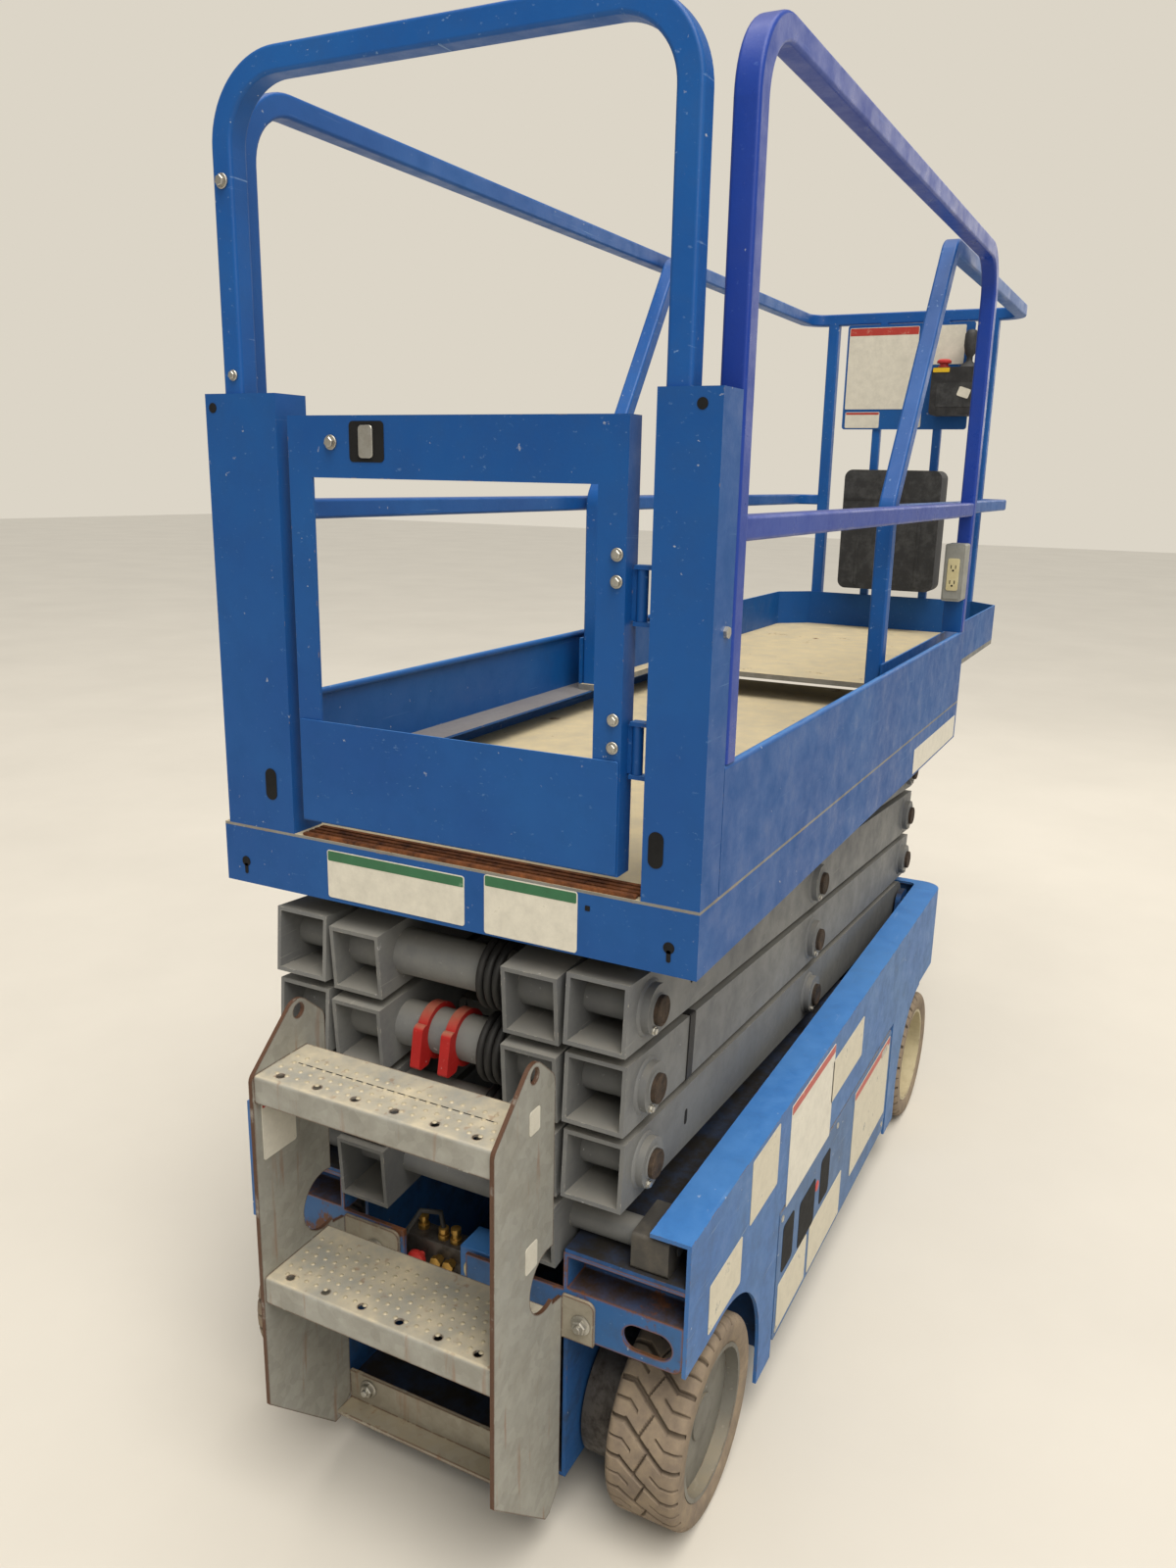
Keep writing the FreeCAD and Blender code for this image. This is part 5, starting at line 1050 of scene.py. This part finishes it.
@dataclass
class Linkset:
    """Four levels of box arms with their pin ends, sleeves, painted shade in their holes, hoses and a
    strap.
    """

    levels: tuple[int, ...] = (1, 2, 3, 4)
    front_pin: float = 1581.0
    arm_length: float = 1520.0
    pitch: float = 112.5
    first_pin: float = 500.0
    near: float = 195.0
    far: float = 285.0
    ring_height: float = 14.0
    low_ring_height: float = 6.0
    end_height: float = 22.0
    cross_radius: float = 34.0
    hose_bends: int = 14

    def places(self, level: int) -> tuple[Vector, Vector, Vector]:
        """Return the rear, middle and front pins of an outer arm, in the middle plane."""
        run = math.sqrt(self.arm_length ** 2 - self.pitch ** 2)
        high, low = self.first_pin + self.pitch * level, self.first_pin + self.pitch * (level - 1)
        return (row(self.front_pin - run, 0, high), row(self.front_pin - run / 2, 0, (high + low) / 2),
                row(self.front_pin, 0, low))

    def along(self, level: int) -> tuple[Vector, Vector]:
        """Return an outer arm's direction to the front and the direction across it, upwards."""
        rear, _, front = self.places(level)
        ahead = (front - rear).normalized()
        return ahead, Vector((-ahead.z, 0, ahead.x))

    def build(self) -> None:
        """Dress the arms and the cylinder, and make what is fixed to them."""
        dress_nodes({
            Coat.ARMS: [f"arm_{level}_{kind}" for level in self.levels for kind in ("inner", "outer")],
            Coat.CROSS: ("cylinder_barrel", "rod_lugs"),
            Coat.CHROME: ("cylinder_rod",),
            Coat.RED: ("safety_hooks",),
        })
        for level in self.levels:
            self.build_pin_ends(level)
            self.build_holes(level)
        for level in self.levels[1:]:
            self.build_hoses(level)
        self.build_strap()

    def build_pin_ends(self, level: int) -> None:
        """Put weld beads, a pin face, a retaining bolt and a sleeve at each pin of a level."""
        beads, ends, bolts, sleeves = Stock(), Stock(), Stock(), Stock()
        for number, spot in enumerate(self.places(level)):
            # The top level's rear pin and the lowest level's front pin are in the slider blocks
            if (level, number) in ((4, 0), (1, 2)):
                continue
            low = (level, number) == (4, 1)
            for side in Side:
                axis = side.way.vector
                beads.lathe([(40, -0.4), (38.6, 1.6), (36, 3.4), (34.5, 3.8)],
                            spot + axis * (self.far / 1000), axis, 40)
                if not low:
                    ring = spot + axis * ((self.far + self.ring_height) / 1000)
                    ends.lathe([(20.6, -7), (20.6, -0.4), (19.4, 0.4), (16.5, 0.7), (15.8, 0.1), (0, 0.1)],
                               spot + axis * ((self.far + self.end_height) / 1000), axis, 36)
                    beads.lathe([(23.6, -0.4), (22.4, 1.2), (20.4, 1.6)], ring, axis, 36)
                    bolts.bolt(ring + Vector((-0.0155, 0, -0.0235)), axis, 8)
                sleeves.lathe([(24, 0), (24, self.far - self.near - 12)],
                              spot + axis * ((self.near + 6) / 1000), axis)
        body = f"arm_{level}_outer"
        beads.piece(f"arm_{level}_pin_beads", Coat.ARMS, body, "arm_paint", smooth_deg=60)
        ends.piece(f"arm_{level}_pin_ends", Coat.PIN, body, "steel")
        bolts.piece(f"arm_{level}_pin_bolts", Coat.ZINC, body, "steel")
        sleeves.piece(f"arm_{level}_pin_sleeves", Coat.ARMS, body, "arm_paint")

    def build_holes(self, level: int) -> None:
        """Lay an oblong plate of painted shade where each outer arm of a level has a hole near its rear
        end.
        """
        ahead, across = self.along(level)
        holes = Stock()
        for side in Side:
            spot = (self.places(level)[0] + ahead * 0.15
                    + side.way.vector * ((self.far + 0.1) / 1000))
            holes.prism(rounded(9, 24, 4.4), spot, ahead * -side.value, across, 0.4)
        holes.piece(f"arm_{level}_holes", Coat.VOID, f"arm_{level}_outer", "black_plastic")

    def build_hoses(self, level: int) -> None:
        """Bend three hoses round the rear cross tube of a level's inner arms."""
        hoses = Stock()
        reach = (self.cross_radius + 13) / 1000
        for y in (-53, -66, -79):
            middle = self.places(level - 1)[0] + Vector((0, y / 1000, 0))
            points = [middle + Vector((0.07, 0, -reach))]
            for i in range(self.hose_bends + 1):
                turn = math.radians(-90 - 180 * i / self.hose_bends)
                points.append(middle + Vector((math.cos(turn), 0, math.sin(turn))) * reach)
            hoses.sweep([*points, middle + Vector((0.07, 0, reach))], 5.6, 14)
        hoses.piece(f"arm_{level}_hoses", Coat.HOSE, f"arm_{level}_inner", "black_plastic")

    def build_strap(self) -> None:
        """Tie a black strap round the right outer arm of level two."""
        ahead, across = self.along(2)
        spot = self.places(2)[0] + ahead * 0.155 + Vector((0, -0.24, 0))
        strap = Stock()
        rings = [[strap.mesh.verts.new(spot + Vector((0, u / 1000, 0)) + across * (v / 1000)
                                       + ahead * (shift / 1000)) for u, v in outline]
                 for outline in (rounded(94, 102, 3), rounded(90.2, 98.2, 2)) for shift in (-10, 10)]
        count = len(rings[0])
        for one, two in ((0, 1), (2, 3), (0, 2), (1, 3)):
            for i in range(count):
                j = (i + 1) % count
                strap.mesh.faces.new((rings[one][i], rings[one][j], rings[two][j], rings[two][i]))
        strap.piece("arm_strap", Coat.HOSE, "arm_2_outer", "black_plastic")


# Platform


@dataclass
class Platform:
    """Railed platform with its gate and roll-out deck."""

    half: float = 375.0
    skin: float = -0.2

    def build(self) -> None:
        """Dress the platform and make its plates, bolts, painted shade in its slots and holes, and its
        latch.
        """
        dress_nodes({
            Coat.PLATFORM: ("platform_frame", "side_walls", "rear_posts", "gate", "gate_hinges",
                            "slide_toe_boards", "placard_panel"),
            Coat.RAILS: ("guardrail_left", "rear_hoop", "slide_rails"),
            Coat.NEW_RAIL: ("guardrail_right",),
            Coat.DECK: ("platform_deck", "slide_deck"),
            Coat.CASE: ("document_case",),
            Coat.BLACK: ("control_box",),
            Coat.GREY_PLASTIC: ("outlet_box",),
        })
        self.build_skirt_plates()
        self.build_slots()
        self.build_bolts()
        self.build_gate_plates()
        self.build_placards()
        self.build_case()
        self.build_controls()
        self.build_outlet()

    def build_skirt_plates(self) -> None:
        """Stick two blank plates with green heads on the rear skirt and one on each side."""
        for name, y, z, width, height in (("skirt_left_plate", 72, 960, 228, 70),
                                          ("skirt_right_plate", -142, 963, 138, 82)):
            Label(name, row(-0.3, y, z), Way.REAR, width, height, band=Coat.GREEN_LABEL,
                  band_height=17).build("platform")
        for name, side in (("skirt_side_plate", Side.RIGHT), ("skirt_side_plate_left", Side.LEFT)):
            Label(name, row(1400, (self.half - self.skin) * side.value, 950), side.way, 440,
                  52).build("platform")

    def build_slots(self) -> None:
        """Lay plates of painted shade where the skirt has keyholes and the posts have slots."""
        dark = Stock()
        for y, z in ((338, 947), (-337, 950)):
            dark.plate(row(self.skin, y, z + 5), Way.REAR, 15, 15, 7.4, 0.5, 6)
            dark.plate(row(self.skin, y, z - 6), Way.REAR, 6, 16, 2.5, 0.5)
        for y in (283, -315):
            dark.plate(row(self.skin, y, 1076), Way.REAR, 20, 46, 9.8, 0.5, 8)
        dark.plate(row(self.skin, -225, 985), Way.REAR, 7, 7, 1, 0.5)
        dark.piece("skirt_openings", Coat.VOID, "platform", "black_plastic")

    def build_bolts(self) -> None:
        """Bolt the gate's hinges, the hoop and the posts, and lay painted shade where the posts have holes.
        """
        gate, post, holes = Stock(), Stock(), Stock()
        for y, z, across in ((-253, 1422, 10), (-253, 1391, 10), (-253, 1228, 10), (-253, 1194, 10),
                             (157, 1544, 12)):
            gate.bolt(row(1.5, y, z), Way.REAR.vector, across)
        gate.piece("gate_bolts", Coat.ZINC, "gate", "steel")
        for x, y, z, way, across in ((40, -372.4, 1338, Way.RIGHT, 13), (40, 366.2, 1338, Way.LEFT, 13),
                                     (3.8, 319, 1862, Way.REAR, 12), (3.8, 317, 1628, Way.REAR, 9)):
            post.bolt(row(x, y, z), way.vector, across)
        post.piece("post_bolts", Coat.ZINC, "platform", "steel")
        for y in (-351, 353):
            holes.plate(row(self.skin, y, 1587), Way.REAR, 13, 13, 6.4, 0.4)
        holes.piece("post_holes", Coat.VOID, "platform", "black_plastic")

    def build_gate_plates(self) -> None:
        """Lay the gate's kick plate, its latch over painted shade in its recess in the top rail, and the
        ridged sill under it.
        """
        for name, x, y, z, size, depth, coat, slot, bevel in (
            ("gate_kick_plate", 1.7, -18, 1106, (488, 144, 4), 2.4, Coat.PLATFORM, "platform_paint", 0.6),
            ("latch_recess", 1.9, 101, 1545, (54, 50, 6), 0.5, Coat.VOID, "black_plastic", 0.0),
            ("latch_pull", 1.4, 101, 1545, (22, 40, 5), 3.0, Coat.ZINC, "steel", 0.8),
        ):
            Stock().plate(row(x, y, z), Way.REAR, *size, depth).piece(name, coat, "gate", slot, bevel)
        sill = Stock()
        for x in (1.0, 13.0, 25.0, 37.0):
            sill.plate(row(x, -30, 1010.4), Way.REAR, 520, 5, 2, -7.0)
        sill.piece("entry_sill_ridges", Coat.RUST, "platform", "deck")

    def build_placards(self) -> None:
        """Stick blank sheets on the placard panel and under it."""
        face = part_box("placard_panel")[0].x - 0.0002
        for name, y, z, width, height, band, band_height in (
            ("placard_sheet", 76, 1838, 206, 232, Coat.RED_LABEL, 24),
            ("placard_foot_sheet", 124, 1691, 104, 46, Coat.RED_LABEL, 9),
            ("placard_side_sheet", -112, 1900, 96, 108, None, 0),
            ("placard_slip", -42, 1700, 20, 60, None, 0),
        ):
            Label(name, Vector((face, y / 1000, z / 1000)), Way.REAR, width, height, band=band,
                  band_height=band_height).build("slide_deck")

    def build_case(self) -> None:
        """Draw the document case's lid seam and mould its ribs."""
        low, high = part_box("document_case")
        middle, face = (low + high) / 2, low.x - 0.0001
        Stock().plate(Vector((face, middle.y, high.z - 0.086)), Way.REAR, 284, 5, 2, 1.2).piece(
            "case_lid_seam", Coat.BLACK, "slide_deck", "black_plastic")
        ribs = Stock()
        for y in (-0.09, 0.0, 0.09):
            ribs.plate(Vector((face, middle.y + y, middle.z - 0.05)), Way.REAR, 9, 230, 4, 1.6)
        ribs.piece("case_ribs", Coat.CASE, "slide_deck", "black_plastic", 0.6)

    def build_controls(self) -> None:
        """Fit the stop button, its collar, the joystick and the face of the control box."""
        low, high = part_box("control_box")
        middle, face, lid = (low + high) / 2, low.x - 0.0002, high.z - 0.0005
        Stock().lathe([(17, 0), (17, 5), (12, 6), (12, 12), (20, 14), (20, 20), (15, 24), (0, 25)],
                      Vector((low.x + 0.035, high.y - 0.026, lid)), Way.UP.vector).piece(
            "stop_button", Coat.RED_PLASTIC, "slide_deck")
        Stock().plate(Vector((face, high.y - 0.027, high.z - 0.008)), Way.REAR, 46, 12, 2, 1.0).piece(
            "stop_button_collar", Coat.YELLOW, "slide_deck")
        Stock().lathe([(26, 0), (22, 8), (14, 13), (9, 18), (8, 30), (15, 40), (19, 62), (18, 92),
                       (12, 102), (0, 105)], Vector((low.x + 0.04, high.y - 0.095, lid)), Way.UP.vector,
                      28).piece("joystick", Coat.CASE, "slide_deck", "black_plastic", smooth_deg=50)
        Stock().plate(Vector((face, middle.y, middle.z - 0.01)), Way.REAR, 104, 66, 4, 0.8).piece(
            "control_face", Coat.CASE, "slide_deck", "black_plastic")
        Label("control_slip", Vector((low.x - 0.0012, low.y + 0.045, low.z + 0.062)), Way.REAR, 34, 26,
              tilt_deg=-18).build("slide_deck")

    def build_outlet(self) -> None:
        """Fit the double outlet with its yellowed face, painted shade in its socket openings, and the plate
        that carries the box.
        """
        low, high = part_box("outlet_box")
        middle = (low + high) / 2
        for name, x, z, size, depth, coat, bevel in (
            ("outlet_cover", low.x - 0.0001, middle.z, (38, 118, 3), 1.4, Coat.GREY_PLASTIC, 0.5),
            ("outlet_face", low.x - 0.0014, middle.z - 0.004, (26, 72, 4), 2.2, Coat.IVORY, 0.6),
        ):
            Stock().plate(Vector((x, middle.y, z)), Way.REAR, *size, depth).piece(
                name, coat, "platform", bevel_mm=bevel)
        # Dark slots and round pits on the outlet's face: painted shade in its socket openings
        slots = Stock()
        front = Vector((low.x - 0.0036, middle.y, middle.z))
        for rise in (-0.021, 0.013):
            for y in (-0.005, 0.005):
                slots.plate(front + Vector((0, y, rise)), Way.REAR, 2, 8, 0.6, 0.3)
            slots.lathe([(2.3, 0), (2.3, 0.3), (0, 0.3)], front + Vector((0, 0, rise - 0.008)),
                        Way.REAR.vector, 16)
        slots.piece("outlet_openings", Coat.VOID, "platform", "black_plastic")
        Stock().plate(Vector((high.x - 0.012, middle.y, low.z - 0.0375)), Way.REAR, 44, 74, 3, 4.0).piece(
            "outlet_plate", Coat.PLATFORM, "platform", "platform_paint", 0.6)


# Studio


@dataclass
class Studio:
    """Plain pale room with soft lamps, and the camera at the photograph's place."""

    lens: float = 27.0255
    sensor: float = 36.0
    stand: Spot = (-2.40224, -0.85148, 1.50804)
    right: Spot = (0.45791, -0.88877, 0.02008)
    forward: Spot = (0.86245, 0.43864, -0.25253)
    ground_half: float = 30.0
    sky: str = "#DCD5C7"
    glow: str = "#F4F1EA"
    glow_strength: float = 0.37
    aim: Spot = (0.0, 0.0, 0.9)

    def build(self) -> None:
        """Set up the view transform, camera, floor, world and lamps."""
        bpy.context.scene.view_settings.view_transform = "Standard"
        self.build_camera()
        self.build_floor()
        self.build_world()
        for name, place, size, power in (
            ("soft_ceiling", (-0.6, -0.2, 10.0), 8.0, 520.0),
            ("key_from_rear_right", (-4.2, -3.2, 3.6), 2.6, 62.0),
            ("front_lamp", (4.2, -1.6, 3.0), 3.0, 30.0),
        ):
            lamp = self.lamp(name, "AREA", power, "#FFF6EA", Vector(self.aim) - Vector(place))
            lamp.location = place
            lamp.data.shape = "SQUARE"
            lamp.data.size = size
        sun = self.lamp("roof_daylight", "SUN", 2.3, "#FFFAF2", Vector((0.35, 0.4, -1.0)))
        sun.data.angle = math.radians(40)

    def lamp(self, name: str, kind: str, power: float, colour: str, aim: Vector) -> bpy.types.Object:
        """Return a new lamp that shines in the direction of aim."""
        data = bpy.data.lights.new(name, kind)
        data.energy = power
        data.color = linear(colour)[:3]
        lamp = add_object(name, data)
        lamp.rotation_euler = aim.to_track_quat("-Z", "Y").to_euler()
        return lamp

    def build_camera(self) -> None:
        """Place the camera."""
        data = bpy.data.cameras.new("photo_camera")
        data.lens, data.sensor_width = self.lens, self.sensor
        data.clip_start, data.clip_end = 0.05, 100.0
        camera = add_object("photo_camera", data)
        ahead = Vector(self.forward).normalized()
        up = Vector(self.right).normalized().cross(ahead).normalized()
        turn = Matrix((ahead.cross(up).normalized(), up, -ahead)).transposed()
        camera.matrix_world = Matrix.Translation(Vector(self.stand)) @ turn.to_4x4()
        bpy.context.scene.camera = camera

    def build_floor(self) -> None:
        """Lay the floor."""
        size = self.ground_half
        data = bpy.data.meshes.new("studio_floor")
        data.from_pydata([(-size, -size, 0), (size, -size, 0), (size, size, 0), (-size, size, 0)],
                         [], [(0, 1, 2, 3)])
        floor = add_object("studio_floor", data)
        data.materials.append(StudioGround().material())

    def build_world(self) -> None:
        """Light the room softly and show it pale."""
        world = bpy.data.worlds.new("studio_world")
        bpy.context.scene.world = world
        world.use_nodes = True
        tree = world.node_tree
        tree.nodes.clear()
        seen = put(tree, "ShaderNodeLightPath", out="Is Camera Ray")
        soft, plain = (put(tree, "ShaderNodeBackground", {"Color": linear(colour), "Strength": strength})
                       for colour, strength in ((self.glow, self.glow_strength), (self.sky, 1.0)))
        both = put(tree, "ShaderNodeMixShader", {0: seen, 1: soft, 2: plain})
        put(tree, "ShaderNodeOutputWorld", {"Surface": both})


def main() -> None:
    """Build the scene piece by piece."""
    logging.basicConfig(level=logging.INFO, format="%(name)s: %(message)s")
    Studio().build()
    Chassis().build()
    Ladder().build()
    dress_nodes({Coat.REAR_WHEEL: ("rear_left_rim", "rear_right_rim"),
                 Coat.FRONT_WHEEL: ("front_left_rim", "front_right_rim")})
    for side in Side:
        Wheel("rear_" + side.name.lower(), side, 154.0).build()
        SteeredWheel("front_" + side.name.lower(), side, 1474.0).build()
    Linkset().build()
    Platform().build()
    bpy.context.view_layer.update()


if __name__ == "__main__":
    main()
